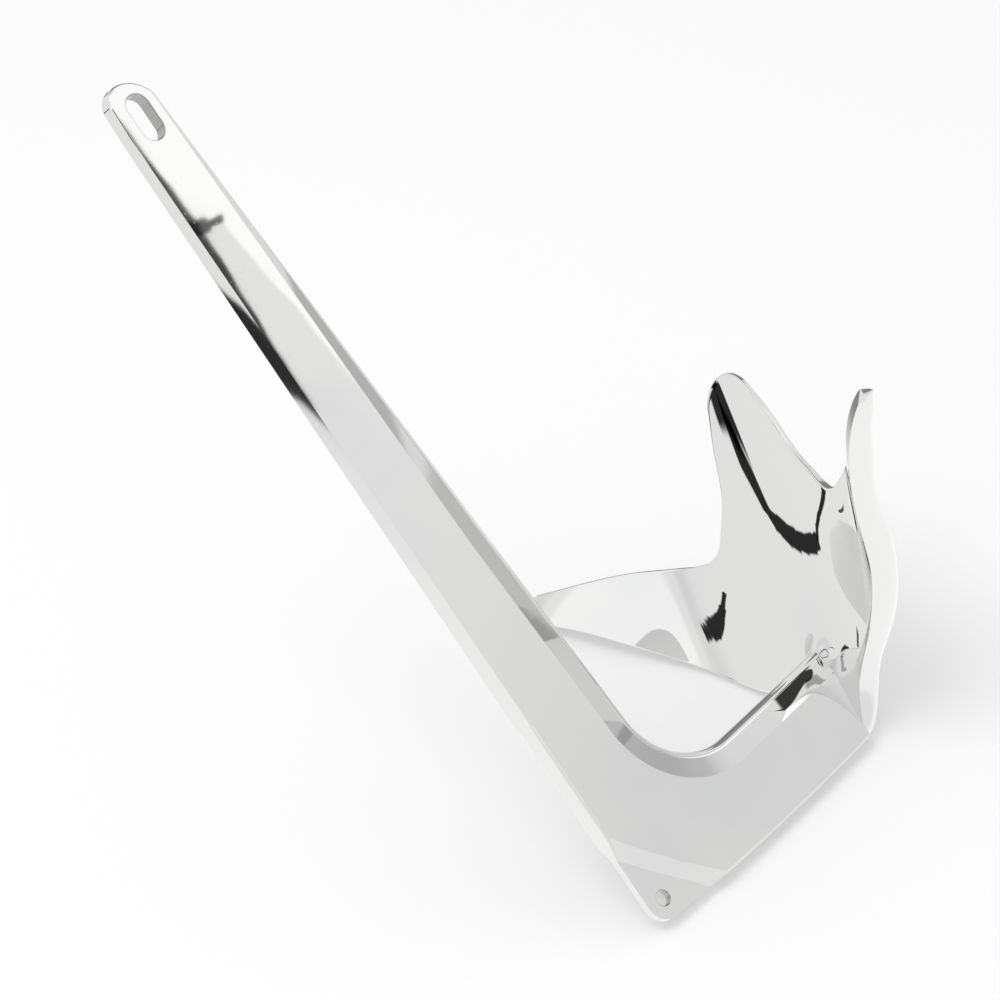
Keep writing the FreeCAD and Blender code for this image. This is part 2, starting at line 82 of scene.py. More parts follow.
class Bench:
    """The modelling moves that every sub-assembly shares."""

    @staticmethod
    def clear() -> None:
        """Leave edit mode and deselect everything."""
        if bpy.context.object and bpy.context.object.mode != "OBJECT":
            bpy.ops.object.mode_set(mode="OBJECT")
        bpy.ops.object.select_all(action="DESELECT")

    @staticmethod
    def take(piece: bpy.types.Object) -> None:
        """Make the piece the only selected and the active object.

        Args:
            piece: the object to work on.
        """
        Bench.clear()
        piece.select_set(True)
        bpy.context.view_layer.objects.active = piece

    @staticmethod
    def prism(name: str, outline: Sequence[Point2], half: float) -> bpy.types.Object:
        """Extrude a flat outline across the shank.

        Args:
            name: the new object's name.
            outline: its corners as (x, z), in millimetres.
            half: how far it reaches to each side, in millimetres.

        Returns:
            The closed prism.
        """
        Bench.clear()
        bpy.ops.mesh.primitive_circle_add(vertices=len(outline), radius=START_SIZE, fill_type="NGON")
        piece = bpy.context.object
        piece.name = name
        for vertex, (x, z) in zip(piece.data.vertices, outline):
            vertex.co = (x * MM, -half * MM, z * MM)
        bpy.ops.object.mode_set(mode="EDIT")
        bpy.ops.mesh.select_all(action="SELECT")
        bpy.ops.mesh.extrude_region_move(
            TRANSFORM_OT_translate={"value": (0.0, 2.0 * half * MM, 0.0)})
        bpy.ops.mesh.select_all(action="SELECT")
        bpy.ops.mesh.normals_make_consistent(inside=False)
        bpy.ops.object.mode_set(mode="OBJECT")
        return piece

    @staticmethod
    def loft(name: str, sections: Sequence[Sequence[Point3]]) -> bpy.types.Object:
        """Run a closed skin through sections with equally many points.

        Args:
            name: the new object's name.
            sections: closed rings of points, in millimetres.

        Returns:
            The closed solid, with a flat cap on its first and last ring.
        """
        rings, count = len(sections), len(sections[0])
        Bench.clear()
        bpy.ops.mesh.primitive_grid_add(x_subdivisions=count, y_subdivisions=rings - 1, size=1.0)
        piece = bpy.context.object
        piece.name = name
        order = sorted(piece.data.vertices, key=lambda v: (round(v.co.y, 6), v.co.x))
        for number, vertex in enumerate(order):
            ring, place = divmod(number, count + 1)
            vertex.co = Vector(sections[ring][place % count]) * MM
        bpy.ops.object.mode_set(mode="EDIT")
        bpy.ops.mesh.select_all(action="SELECT")
        bpy.ops.mesh.remove_doubles(threshold=WELD_MM * MM)
        bpy.ops.mesh.fill_holes(sides=0)
        bpy.ops.mesh.select_all(action="SELECT")
        bpy.ops.mesh.normals_make_consistent(inside=False)
        bpy.ops.object.mode_set(mode="OBJECT")
        return piece

    @staticmethod
    def pick_edges(piece: bpy.types.Object, wanted: Callable[[bmesh.types.BMEdge], bool]) -> int:
        """Enter edit mode with only the wanted edges selected.

        Args:
            piece: the object to work on.
            wanted: tells whether an edge is to be selected.

        Returns:
            How many edges were selected.
        """
        Bench.take(piece)
        bpy.ops.object.mode_set(mode="EDIT")
        bpy.ops.mesh.select_mode(type="EDGE")
        bpy.ops.mesh.select_all(action="DESELECT")
        mesh = bmesh.from_edit_mesh(piece.data)
        chosen = [edge for edge in mesh.edges if wanted(edge)]
        for edge in chosen:
            edge.select_set(True)
        mesh.select_flush_mode()
        bmesh.update_edit_mesh(piece.data)
        return len(chosen)

    @staticmethod
    def round_edges(piece: bpy.types.Object, wanted: Callable[[bmesh.types.BMEdge], bool],
                    radius: float, segments: int) -> None:
        """Round the wanted edges.

        Args:
            piece: the object to work on.
            wanted: tells whether an edge is rounded.
            radius: width of the rounding, in millimetres.
            segments: how many steps the rounding takes.
        """
        found = Bench.pick_edges(piece, wanted)
        if found:
            bpy.ops.mesh.bevel(offset=radius * MM, segments=segments, profile=0.5,
                               affect="EDGES", clamp_overlap=False)
        bpy.ops.mesh.select_mode(type="VERT")
        bpy.ops.object.mode_set(mode="OBJECT")
        LOG.info("%s: rounded %d edges", piece.name, found)

    @staticmethod
    def combine(piece: bpy.types.Object, other: bpy.types.Object, how: Cut) -> None:
        """Cut the other solid away from the piece, or join it on, and drop it.

        Args:
            piece: the solid that stays.
            other: the solid that is used up.
            how: what is done with it.
        """
        Bench.take(piece)
        modifier = piece.modifiers.new("combine", "BOOLEAN")
        modifier.operation = how.value
        modifier.solver = "EXACT"
        modifier.object = other
        bpy.ops.object.modifier_apply(modifier=modifier.name)
        bpy.data.objects.remove(other, do_unlink=True)


@dataclass
class Lay:
    """Turns the anchor's own frame into the place where it lies.

    Attributes:
        hole: the trip-line hole's centre in the anchor's frame, in millimetres.
        slot: the shackle slot's centre there.
    """

    hole: Point3
    slot: Point3

    def matrix(self, mounts: Iterable[dict]) -> Matrix:
        """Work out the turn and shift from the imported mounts.

        Args:
            mounts: the record's mounts, with their places and axes.

        Returns:
            The matrix from the anchor's frame, in metres, to the row frame.
        """
        by_name = {mount["name"]: mount for mount in mounts}
        hole = Vector(by_name["trip_line_hole"]["pos_m"])
        slot = Vector(by_name["shackle_slot"]["pos_m"])
        across = Vector(by_name["trip_line_hole"]["axis"]).normalized()
        along = (slot - hole).normalized()
        along = (along - across * along.dot(across)).normalized()
        upright = along.cross(across)
        rise = math.atan2(self.slot[2] - self.hole[2], self.slot[0] - self.hole[0])
        x_axis = along * math.cos(rise) - upright * math.sin(rise)
        z_axis = along * math.sin(rise) + upright * math.cos(rise)
        turn = Matrix((x_axis, across, z_axis)).transposed().to_4x4()
        shift = hole - turn @ (Vector(self.hole) * MM)
        return Matrix.Translation(shift) @ turn


def ease(share: float) -> float:
    """Hold a share between 0 and 1, and make it start and end softly."""
    share = min(max(share, 0.0), 1.0)
    return share * share * (3.0 - 2.0 * share)


def blend(first: Point3, last: Point3, share: float) -> Point3:
    """Give the sizes that lie a share of the way from the first to the last."""
    return tuple(a + (b - a) * share for a, b in zip(first, last))


def arc(centre: Point2, radius: float, start: float, end: float, steps: int) -> list[Point2]:
    """Give points on an arc.

    Args:
        centre: the arc's centre.
        radius: its radius.
        start: angle of the first point, in degrees from the first axis.
        end: angle of the last point.
        steps: into how many pieces the arc is cut.

    Returns:
        The points, both ends included.
    """
    points = []
    for i in range(steps + 1):
        angle = math.radians(start + (end - start) * i / steps)
        points.append((centre[0] + radius * math.cos(angle), centre[1] + radius * math.sin(angle)))
    return points


def circle_through(a: Point2, b: Point2, c: Point2) -> tuple[Point2, float]:
    """Find the circle through three points.

    Args:
        a: first point.
        b: second point.
        c: third point.

    Returns:
        Its centre and its radius.
    """
    ax, ay, bx, by, cx, cy = *a, *b, *c
    d = 2.0 * (ax * (by - cy) + bx * (cy - ay) + cx * (ay - by))
    aa, bb, cc = ax * ax + ay * ay, bx * bx + by * by, cx * cx + cy * cy
    ux = (aa * (by - cy) + bb * (cy - ay) + cc * (ay - by)) / d
    uy = (aa * (cx - bx) + bb * (ax - cx) + cc * (bx - ax)) / d
    return (ux, uy), math.hypot(ax - ux, ay - uy)


def arc_through(a: Point2, b: Point2, c: Point2, steps: int) -> list[Point2]:
    """Give points on the arc from a over b to c.

    Args:
        a: where the arc starts.
        b: a point on the way.
        c: where it ends.
        steps: into how many pieces the arc is cut.

    Returns:
        The points, both ends included.
    """
    centre, radius = circle_through(a, b, c)
    angles = [math.degrees(math.atan2(p[1] - centre[1], p[0] - centre[0])) for p in (a, b, c)]
    full = (angles[2] - angles[0]) % 360.0
    half = (angles[1] - angles[0]) % 360.0
    if half > full:
        full -= 360.0
    return arc(centre, radius, angles[0], angles[0] + full, steps)


class Spline:
    """A natural cubic curve through stations, flat at its first one."""

    def __init__(self, stations: Sequence[Point2]) -> None:
        """Solve the curve's bends.

        Args:
            stations: places and values, in rising order of place.
        """
        self.xs = [p[0] for p in stations]
        self.ys = [p[1] for p in stations]
        n = len(stations)
        self.step = [self.xs[i + 1] - self.xs[i] for i in range(n - 1)]
        rise = [(self.ys[i + 1] - self.ys[i]) / self.step[i] for i in range(n - 1)]
        diag = [2.0 * self.step[0]] + [0.0] * (n - 1)
        right = [6.0 * rise[0]] + [0.0] * (n - 1)
        for i in range(1, n - 1):
            f = self.step[i - 1] / diag[i - 1]
            diag[i] = 2.0 * (self.step[i - 1] + self.step[i]) - f * self.step[i - 1]
            right[i] = 6.0 * (rise[i] - rise[i - 1]) - f * right[i - 1]
        self.bend = [0.0] * n
        for i in range(n - 2, -1, -1):
            self.bend[i] = (right[i] - self.step[i] * self.bend[i + 1]) / diag[i]

    def __call__(self, place: float) -> float:
        """Give the curve's value, the same on both sides of zero.

        Args:
            place: where along the stations.

        Returns:
            The value there. Past the last station it stays the same.
        """
        s = min(abs(place), self.xs[-1])
        i = 0
        while i < len(self.xs) - 2 and s > self.xs[i + 1]:
            i += 1
        h = self.step[i]
        p, q = (self.xs[i + 1] - s) / h, (s - self.xs[i]) / h
        curl = (p ** 3 - p) * self.bend[i] + (q ** 3 - q) * self.bend[i + 1]
        return p * self.ys[i] + q * self.ys[i + 1] + curl * h * h / 6.0


@dataclass
class Plate:
    """Shank, eye, heel and arm: one flat plate with a thinned inner edge.

    All sizes are in millimetres, as in the CAD source.

    Attributes:
        length: heel to eye, along the back of the shank.
        eye_corner: radius of the eye's corner at the back.
        eye_crown: radius of the eye's round top.
        crown_run: how far above the top's centre the taper begins.
        throat_width: width of the shank where it meets the bend.
        throat_x: height of that place.
        eye_thick: thickness at the eye.
        taper_top: height at which the plate begins to thicken.
        taper_low: height at which it has its full thickness.
        crown_thick: the full thickness, at the bend and the arm.
        edge_round: rounding of the outer rim.
        slot_length: length of the shackle slot.
        slot_width: width of the slot.
        slot_from_top: the slot's middle, below the top of the eye.
        slot_in: the slot's middle, in from the back.
        bend_radius: radius of the bend between shank and arm.
        arm_in: a point on the arm's inner edge, as (x, z).
        arm_rise: slope of the arm's inner edge.
        arm_low_slope: slope of the arm's lower edge at the heel.
        arm_low_radius: radius of the lower edge's bow.
        arm_end: where the blank's arm ends, inside the claw.
        arm_low_end: where its lower edge ends.
        nose_full: depth and half width of the round nose and depth of the
            bevel, at the bend and the arm.
        nose_mid: the same at nose_mid_x.
        nose_eye: the same at the eye.
        nose_mid_x: height between the eye's bevel and the full one.
        heel_radius: radius of the heel's corner, with the hole at its centre.
        heel_to_axis: how far the heel reaches below the frame's zero.
        hole_diameter: diameter of the trip-line hole.
        tab_thick: thickness of the tab at the heel.
        tab_leg: length of the tab's side.
        tab_bow: bow of the step at its foot.
        face_leg: the same as tab_leg at the plate's face.
        face_bow: the same as tab_bow at the plate's face.
        mouth_round: rounding of the mouths of slot and hole.
        spare: metal left for the nose cutter along the inner edge.
        near: how far an edge of a rim or a mouth may run across the plate.
        slack: how far off its line such an edge may lie.
    """

    length: float = 453.5
    eye_corner: float = 9.5
    eye_crown: float = 17.0
    crown_run: float = 2.5
    throat_width: float = 48.8
    throat_x: float = 80.0
    eye_thick: float = 7.7
    taper_top: float = 448.0
    taper_low: float = 105.0
    crown_thick: float = 11.2
    edge_round: float = 1.2
    slot_length: float = 24.0
    slot_width: float = 12.2
    slot_from_top: float = 19.1
    slot_in: float = 13.5
    bend_radius: float = 36.0
    arm_in: Point2 = (48.9, 85.0)
    arm_rise: float = 0.093
    arm_low_slope: float = 0.031
    arm_low_radius: float = 1613.0
    arm_end: float = 170.0
    arm_low_end: float = 157.5
    nose_full: Point3 = (3.7, 3.7, 13.5)
    nose_mid: Point3 = (3.7, 3.7, 12.5)
    nose_eye: Point3 = (1.2, 3.6, 2.2)
    nose_mid_x: float = 190.0
    heel_radius: float = 10.0
    heel_to_axis: float = 3.0
    hole_diameter: float = 7.4
    tab_thick: float = 4.0
    tab_leg: float = 37.0
    tab_bow: float = 0.7
    face_leg: float = 53.5
    face_bow: float = 5.5
    mouth_round: float = 0.45
    spare: float = 3.0
    near: float = 0.5
    slack: float = 0.2

    def __post_init__(self) -> None:
        """Work out the lines of the outline."""
        self.top = self.length - self.heel_to_axis
        self.crown = (self.top - self.eye_crown, self.eye_corner)
        start_x = self.crown[0] + self.crown_run
        start_z = self.eye_corner + math.sqrt(self.eye_crown ** 2 - self.crown_run ** 2)
        self.start = (start_x, start_z)
        slope = (start_z - self.throat_width) / (start_x - self.throat_x)
        k = math.hypot(1.0, slope)
        self.shank = (-1.0 / k, -slope / k)
        self.shank_out = (-slope / k, 1.0 / k)
        k = math.hypot(self.arm_rise, 1.0)
        self.arm = (self.arm_rise / k, 1.0 / k)
        self.arm_out = (1.0 / k, -self.arm_rise / k)
        px = self.throat_x + self.bend_radius * self.shank_out[0]
        pz = self.throat_width + self.bend_radius * self.shank_out[1]
        qx = self.arm_in[0] + self.bend_radius * self.arm_out[0]
        qz = self.arm_in[1] + self.bend_radius * self.arm_out[1]
        (sx, sz), (ax, az) = self.shank, self.arm
        t = ((qx - px) * az - (qz - pz) * ax) / (sx * az - sz * ax)
        self.bend = (px + t * sx, pz + t * sz)

    def off_bend(self, out: Point2) -> Point2:
        """Give the point of the bend whose outward direction is out."""
        return (self.bend[0] - self.bend_radius * out[0], self.bend[1] - self.bend_radius * out[1])

    def on_shank(self, x: float) -> Point2:
        """Give the point of the shank's inner edge at the height x."""
        t = (x - self.start[0]) / self.shank[0]
        return (x, self.start[1] + t * self.shank[1])

    def arm_low(self, z: float) -> float:
        """Give the height of the arm's lower edge at the depth z."""
        d = z - self.heel_radius
        return -self.heel_to_axis + self.arm_low_slope * d + 0.5 * d * d / self.arm_low_radius

    def half_width(self, x: float) -> float:
        """Give half the plate's thickness.

        Args:
            x: height along the shank.

        Returns:
            Half the thickness there, in millimetres.
        """
        thin, full = 0.5 * self.eye_thick, 0.5 * self.crown_thick
        share = (self.taper_top - x) / (self.taper_top - self.taper_low)
        return thin + (full - thin) * min(max(share, 0.0), 1.0)

    def out_angles(self) -> tuple[float, float]:
        """Give the outward directions of shank and arm, in degrees."""
        return tuple(math.degrees(math.atan2(d[1], d[0])) for d in (self.shank_out, self.arm_out))

    def outline(self) -> list[Point2]:
        """Give the blank's outline, heel, arm, bend, shank and eye in turn.

        Along the inner edge it has some metal to spare for the nose cutter.

        Returns:
            Its corners as (x, z), in millimetres.
        """
        r, steps = self.heel_radius, 48
        heel = arc((r - self.heel_to_axis, r), r, -90.0, -180.0, steps=24)
        run = self.arm_low_end - r
        low = [(self.arm_low(r + run * i / steps), r + run * i / steps) for i in range(1, steps + 1)]
        start = self.off_bend(self.arm_out)
        end = (start[0] + self.arm_rise * (self.arm_end - start[1]) + self.spare, self.arm_end)
        shank_at, arm_at = self.out_angles()
        bend = arc(self.bend, self.bend_radius - self.spare, 180.0 + arm_at, 180.0 + shank_at,
                   steps=31)
        eye = (self.start[0] + self.spare * self.shank_out[0],
               self.start[1] + self.spare * self.shank_out[1])
        first = math.degrees(math.atan2(self.start[1] - self.crown[1], self.start[0] - self.crown[0]))
        crown = arc(self.crown, self.eye_crown, first, 0.0, steps=30)
        corner = arc((self.top - self.eye_corner, self.eye_corner), self.eye_corner, 0.0, -90.0,
                     steps=20)
        return heel + low + [end] + bend + [eye] + crown + corner[1:]

    def nose_ring(self, origin: Point2, out: Point2, nose: Point3) -> list[Point3]:
        """Give one section of the cutter that thins the inner edge.

        Args:
            origin: apex of the thinned edge, as (x, z).
            out: direction off the metal.
            nose: depth and half width of the round nose, depth of the bevel.

        Returns:
            A closed ring of points round the metal that goes.
        """
        deep, wide, bevel = nose
        reach, clear, past, steps = 2.0, 16.0, 0.02, 16
        rim = self.half_width(origin[0]) + past
        slope = (bevel - deep) / (rim - wide)
        half = [(bevel + reach * slope, rim + reach), (bevel, rim)]
        for i in range(steps, 0, -1):
            a = 0.5 * math.pi * i / steps
            half.append((deep * (1.0 - math.cos(a)), wide * math.sin(a)))
        flat = [(-clear, rim + reach)] + half + [(0.0, 0.0)]
        flat += [(depth, -y) for depth, y in reversed(half)] + [(-clear, -rim - reach)]
        return [(origin[0] - out[0] * d, y, origin[1] - out[1] * d) for d, y in flat]

    def nose_cutter(self) -> bpy.types.Object:
        """Build the cutter that bevels and rounds the whole inner edge."""
        past, upper, lower, turns = 20.0, 40, 12, 48
        rings = [self.nose_ring(self.on_shank(self.length + past), self.shank_out, self.nose_eye)]
        end_x = self.off_bend(self.shank_out)[0]
        runs = ((self.start[0], self.nose_mid_x, self.nose_eye, self.nose_mid, upper, range(upper + 1)),
                (self.nose_mid_x, end_x, self.nose_mid, self.nose_full, lower, range(1, lower)))
        for from_x, to_x, first, last, steps, places in runs:
            for i in places:
                x = from_x + (to_x - from_x) * (i / steps)
                rings.append(self.nose_ring(self.on_shank(x), self.shank_out,
                                            blend(first, last, i / steps)))
        shank_at, arm_at = self.out_angles()
        for i in range(turns + 1):
            angle = math.radians(shank_at + (arm_at - shank_at) * i / turns)
            out = (math.cos(angle), math.sin(angle))
            rings.append(self.nose_ring(self.off_bend(out), out, self.nose_full))
        start = self.off_bend(self.arm_out)
        run = self.arm_end + 0.5 * past - start[1]
        for share in (0.3, 0.6, 1.0):
            far = (start[0] + self.arm[0] * run * share, start[1] + self.arm[1] * run * share)
            rings.append(self.nose_ring(far, self.arm_out, self.nose_full))
        return Bench.loft("nose_cutter", rings)

    def heel_cutter(self, side: float) -> bpy.types.Object:
        """Build what is taken off one face to leave the thin tab.

        Args:
            side: 1 for the near face, -1 for the far one.

        Returns:
            The closed cutter.
        """
        off, reach, far, k = -self.heel_to_axis, 14.0, -60.0, math.sqrt(0.5)
        past_leg, past_bow, past_face = 12.0, 4.0, 2.6

        def ring(leg: float, bow: float, y: float) -> list[Point3]:
            """Give the corner that is taken off at one depth.

            Args:
                leg: length of the corner's side.
                bow: how far its long side bows out.
                y: the depth, across the plate.

            Returns:
                A closed ring of points.
            """
            a = (leg + reach + off, -reach)
            m = (0.5 * leg + off - k * bow, 0.5 * leg - k * bow)
            b = (off - reach, leg + reach)
            flat = arc_through(a, m, b, steps=40) + [(far, far)]
            return [(x, side * y, z) for x, z in flat]

        low, high = 0.5 * self.tab_thick, 0.5 * self.crown_thick
        return Bench.loft("heel_cutter", [
            ring(self.tab_leg, self.tab_bow, low), ring(self.face_leg, self.face_bow, high),
            ring(self.face_leg + past_leg, self.face_bow + past_bow, high + past_face)])

    def slot_outline(self) -> list[Point2]:
        """Give the outline of the shackle slot."""
        (x, z, half, r), steps = self.bores()[0], 28
        return arc((x + half, z), r, -90.0, 90.0, steps) + arc((x - half, z), r, 90.0, 270.0, steps)

    def hole_outline(self) -> list[Point2]:
        """Give the outline of the trip-line hole."""
        (x, z, _, r), steps = self.bores()[1], 48
        return arc((x, z), r, 0.0, 360.0, steps)[:-1]

    def bores(self) -> list[tuple[float, float, float, float]]:
        """Give the slot and the hole: x, z, half straight length and radius of each."""
        r = 0.5 * self.slot_width
        return [(self.top - self.slot_from_top, self.slot_in, 0.5 * self.slot_length - r, r),
                (self.heel_radius - self.heel_to_axis, self.heel_radius, 0.0, 0.5 * self.hole_diameter)]

    def is_outer_rim(self, edge: bmesh.types.BMEdge) -> bool:
        """Tell whether an edge belongs to the blank's outer rim.

        Args:
            edge: an edge of the blank, before it is cut.

        Returns:
            True along the back, the eye, the heel and the arm's lower edge.
        """
        a, b = (v.co / MM for v in edge.verts)
        mid = 0.5 * (a + b)
        if abs(a.y - b.y) > self.near or abs(mid.y) < 0.4 * self.eye_thick:
            return False
        if len({round(f.normal.y) for f in edge.link_faces}) < 2:
            return False
        under = (mid.x < self.arm_low(mid.z) + 4.0 * self.slack
                 and mid.z < self.arm_low_end - 5.0 * self.slack)
        return mid.z < 0.5 * self.slack or mid.x > self.start[0] or under

    def is_mouth(self, edge: bmesh.types.BMEdge) -> bool:
        """Tell whether an edge is the mouth of the slot or of the hole.

        Args:
            edge: an edge of the plate, after it is cut.

        Returns:
            True on both faces, all round either opening.
        """
        a, b = (v.co / MM for v in edge.verts)
        mid = 0.5 * (a + b)
        if abs(a.y - b.y) > self.near or edge.calc_face_angle(0.0) < 1.0:
            return False
        for x, z, half, r in self.bores():
            if abs(mid.x - x) < half + r + self.slack and abs(mid.z - z) < r + self.slack:
                return True
        return False

    def build(self) -> bpy.types.Object:
        """Model the plate.

        Returns:
            The plate in the anchor's own frame, in metres.
        """
        blank_half, cutter_half = 5.0, 20.0
        piece = Bench.prism("plate", self.outline(), blank_half)
        Bench.take(piece)
        bpy.ops.object.mode_set(mode="EDIT")
        for x in (self.taper_low, self.taper_top):
            bpy.ops.mesh.select_all(action="SELECT")
            bpy.ops.mesh.bisect(plane_co=(x * MM, 0.0, 0.0), plane_no=(1.0, 0.0, 0.0))
        bpy.ops.object.mode_set(mode="OBJECT")
        for vertex in piece.data.vertices:
            side = math.copysign(1.0, vertex.co.y)
            vertex.co.y = side * self.half_width(vertex.co.x / MM) * MM
        Bench.round_edges(piece, self.is_outer_rim, self.edge_round, segments=8)
        Bench.combine(piece, self.nose_cutter(), Cut.AWAY)
        for side in (1.0, -1.0):
            Bench.combine(piece, self.heel_cutter(side), Cut.AWAY)
        for name, outline in (("slot_cutter", self.slot_outline()), ("hole_cutter", self.hole_outline())):
            Bench.combine(piece, Bench.prism(name, outline, cutter_half), Cut.AWAY)
        Bench.round_edges(piece, self.is_mouth, self.mouth_round, segments=3)
        return piece


@dataclass
class Claw:
    """The dished three-toed claw, in its own frame, which leans back.

    x runs up the centre toe, y across and z backwards. Sizes are in
    millimetres, and stations are shares of the height and of the half span.

    Attributes:
        lean: how far the claw leans back from the shank, in degrees.
        foot: height of the palm's foot.
        toe_tip: height of the centre toe's tip.
        half_span: from the middle to the tip of an outer toe.
        palm_depth: how far back the palm lies at its foot.
        palm_backset: slope of the palm at its foot.
        palm_radius: radius of the palm's bow from foot to tip.
        twist: how much the outer toes turn about their length.
        rim: thickness of the upper rim.
        lower_rim: thickness of the lower rim.
        centre_ridge: thickness along the centre toe at its root.
        centre_end: the same at its tip.
        centre_width: half width of that ridge at the tip.
        centre_spread: how fast the ridge widens downwards.
        centre_fade: share of the height at which it begins to thin.
        ridge_thick: thickness along the outer toes.
        ridge_place: where that ridge lies between the rims.
        ridge_fall: how soon it thins towards the upper rim.
        root_drop: how far the back of the palm runs down behind its foot.
        root_back: thickness of the palm's foot in the middle.
        root_width: half width of the root.
        collar_rise: how far the palm swells forward where it meets the arm.
        collar_up: height of the swelling's middle above the foot.
        collar_spread: its radius.
        hollow: depth of the centre toe's hollow, for each unit of width.
        hollow_from: share of the height at which the hollow begins.
        hollow_full: share of the height at which it has its full depth.
        hollow_ease: how soon the hollow's edge fades beside the toe.
        toe_width: the hollow's half width at the foot, and what it loses.
        rim_round: rounding of the upper rim.
        lower_round: rounding of the lower rim.
        columns: sections across the claw.
        rows: points up each section.
        lower_stations: the lower rim's height along the half span.
        upper_stations: the upper rim's height, without the centre toe.
        forward_stations: how far forward the dish comes.
        ridge_stations: how thick the ridge is, as a share of ridge_thick.
        toe_side: the outline's upper side between the round toe tips.
        toe_end: a point on an outer toe's round end.
        toe_below: where that end meets the lower rim.
    """

    lean: float = 22.0
    foot: float = 94.5
    toe_tip: float = 252.6
    half_span: float = 153.0
    palm_depth: float = 134.9
    palm_backset: float = 0.0347
    palm_radius: float = 1543.0
    twist: float = 0.70
    rim: float = 2.6
    lower_rim: float = 1.2
    centre_ridge: float = 15.0
    centre_end: float = 4.6
    centre_width: float = 13.0
    centre_spread: float = 0.42
    centre_fade: float = 0.29
    ridge_thick: float = 24.5
    ridge_place: float = 0.30
    ridge_fall: float = 0.62
    root_drop: float = 27.5
    root_back: float = 6.5
    root_width: float = 15.0
    collar_rise: float = 6.5
    collar_up: float = 15.5
    collar_spread: float = 9.0
    hollow: float = 0.09
    hollow_from: float = 0.05
    hollow_full: float = 0.58
    hollow_ease: float = 0.25
    toe_width: Point2 = (0.528, 0.45)
    rim_round: float = 0.8
    lower_round: float = 0.4
    columns: int = 190
    rows: int = 44
    lower_stations: tuple[Point2, ...] = (
        (0.0, 0.0), (0.13, 0.019), (0.257, 0.064), (0.353, 0.117), (0.435, 0.180),
        (0.541, 0.268), (0.660, 0.366), (0.786, 0.459), (0.864, 0.505), (0.925, 0.542),
        (0.965, 0.571), (0.988, 0.592), (1.0, 0.607))
    upper_stations: tuple[Point2, ...] = (
        (0.0, 0.514), (0.353, 0.514), (0.412, 0.523), (0.516, 0.551), (0.647, 0.588),
        (0.776, 0.610), (0.895, 0.6245), (1.0, 0.632))
    forward_stations: tuple[Point2, ...] = (
        (0.0, 0.0), (0.163, 0.006), (0.294, 0.016), (0.412, 0.027), (0.490, 0.045),
        (0.550, 0.074), (0.610, 0.108), (0.690, 0.153), (0.776, 0.199), (0.883, 0.249),
        (0.950, 0.2735), (0.985, 0.2810), (1.0, 0.2800), (1.1, 0.2700))
    ridge_stations: tuple[Point2, ...] = (
        (0.0, 0.94), (0.25, 1.0), (0.40, 0.80), (0.60, 0.52), (0.80, 0.52), (0.91, 0.42),
        (0.945, 0.38), (0.975, 0.29), (0.992, 0.19), (1.0, 0.12), (1.1, 0.10))
    toe_side: tuple[Point2, ...] = (
        (0.109, 0.936), (0.163, 0.815), (0.202, 0.700), (0.262, 0.597), (0.304, 0.538),
        (0.353, 0.517), (0.412, 0.523), (0.516, 0.551), (0.647, 0.588), (0.776, 0.610),
        (0.885, 0.624), (0.940, 0.632))
    toe_end: Point2 = (0.986, 0.6245)
    toe_below: Point2 = (1.0, 0.610)

    def __post_init__(self) -> None:
        """Prepare the curves and the arcs of the toe tips."""
        self.height = self.toe_tip - self.foot
        self.lower_share = Spline(self.lower_stations)
        self.upper_share = Spline(self.upper_stations)
        self.forward = Spline(self.forward_stations)
        self.ridge = Spline(self.ridge_stations)
        self.side_curve = self.free_curve(self.toe_side)
        tip = [self.outline_point(p) for p in (self.toe_side[0], (0.0, 1.0))]
        self.tip_circle = circle_through(tip[0], tip[1], (-tip[0][0], tip[0][1]))
        ends = [self.outline_point(p) for p in (self.toe_side[-1], self.toe_end, self.toe_below)]
        self.end_circle = circle_through(*ends)

    def outline_point(self, share: Point2) -> Point2:
        """Turn shares into a point (across, up) in millimetres."""
        return (self.half_span * share[0], self.foot + self.height * share[1])

    @staticmethod
    def free_curve(stations: Sequence[Point2]) -> Callable[[float], float]:
        """Give a cubic curve through stations that is free at both ends.

        Args:
            stations: places and values, in rising order of place.

        Returns:
            The curve as a function of the place.
        """
        n = len(stations)
        xs, ys = [p[0] for p in stations], [p[1] for p in stations]
        h = [xs[i + 1] - xs[i] for i in range(n - 1)]
        slope = [(ys[i + 1] - ys[i]) / h[i] for i in range(n - 1)]
        tangents = [slope[0]]
        for i in range(1, n - 1):
            tangents.append((h[i] * slope[i - 1] + h[i - 1] * slope[i]) / (h[i - 1] + h[i]))
        tangents.append(slope[-1])

        def value(place: float) -> float:
            """Give the curve's value.

            Args:
                place: where along the stations.

            Returns:
                The value there.
            """
            i = 0
            while i < n - 2 and place > xs[i + 1]:
                i += 1
            t = (place - xs[i]) / h[i]
            a, b = tangents[i] * h[i], tangents[i + 1] * h[i]
            rise = ys[i + 1] - ys[i]
            return ys[i] + t * (a + t * ((3.0 * rise - 2.0 * a - b) + t * (a + b - 2.0 * rise)))

        return value

    def low(self, y: float) -> float:
        """Give the height of the lower rim at y."""
        return self.foot + self.height * self.lower_share(y / self.half_span)

    def upper(self, y: float) -> float:
        """Give the height of the upper rim at y, without the centre toe."""
        return self.foot + self.height * self.upper_share(y / self.half_span)

    def top(self, y: float) -> float:
        """Give the height of the outline's upper side.

        Args:
            y: distance across.

        Returns:
            The height up the centre toe.
        """
        y = abs(y)
        if self.half_span * self.toe_side[0][0] < y < self.half_span * self.toe_side[-1][0]:
            return self.foot + self.height * self.side_curve(y / self.half_span)
        near_tip = y <= self.half_span * self.toe_side[0][0]
        (cy, cx), radius = self.tip_circle if near_tip else self.end_circle
        return cx + math.sqrt(max(radius ** 2 - (y - cy) ** 2, 0.0))

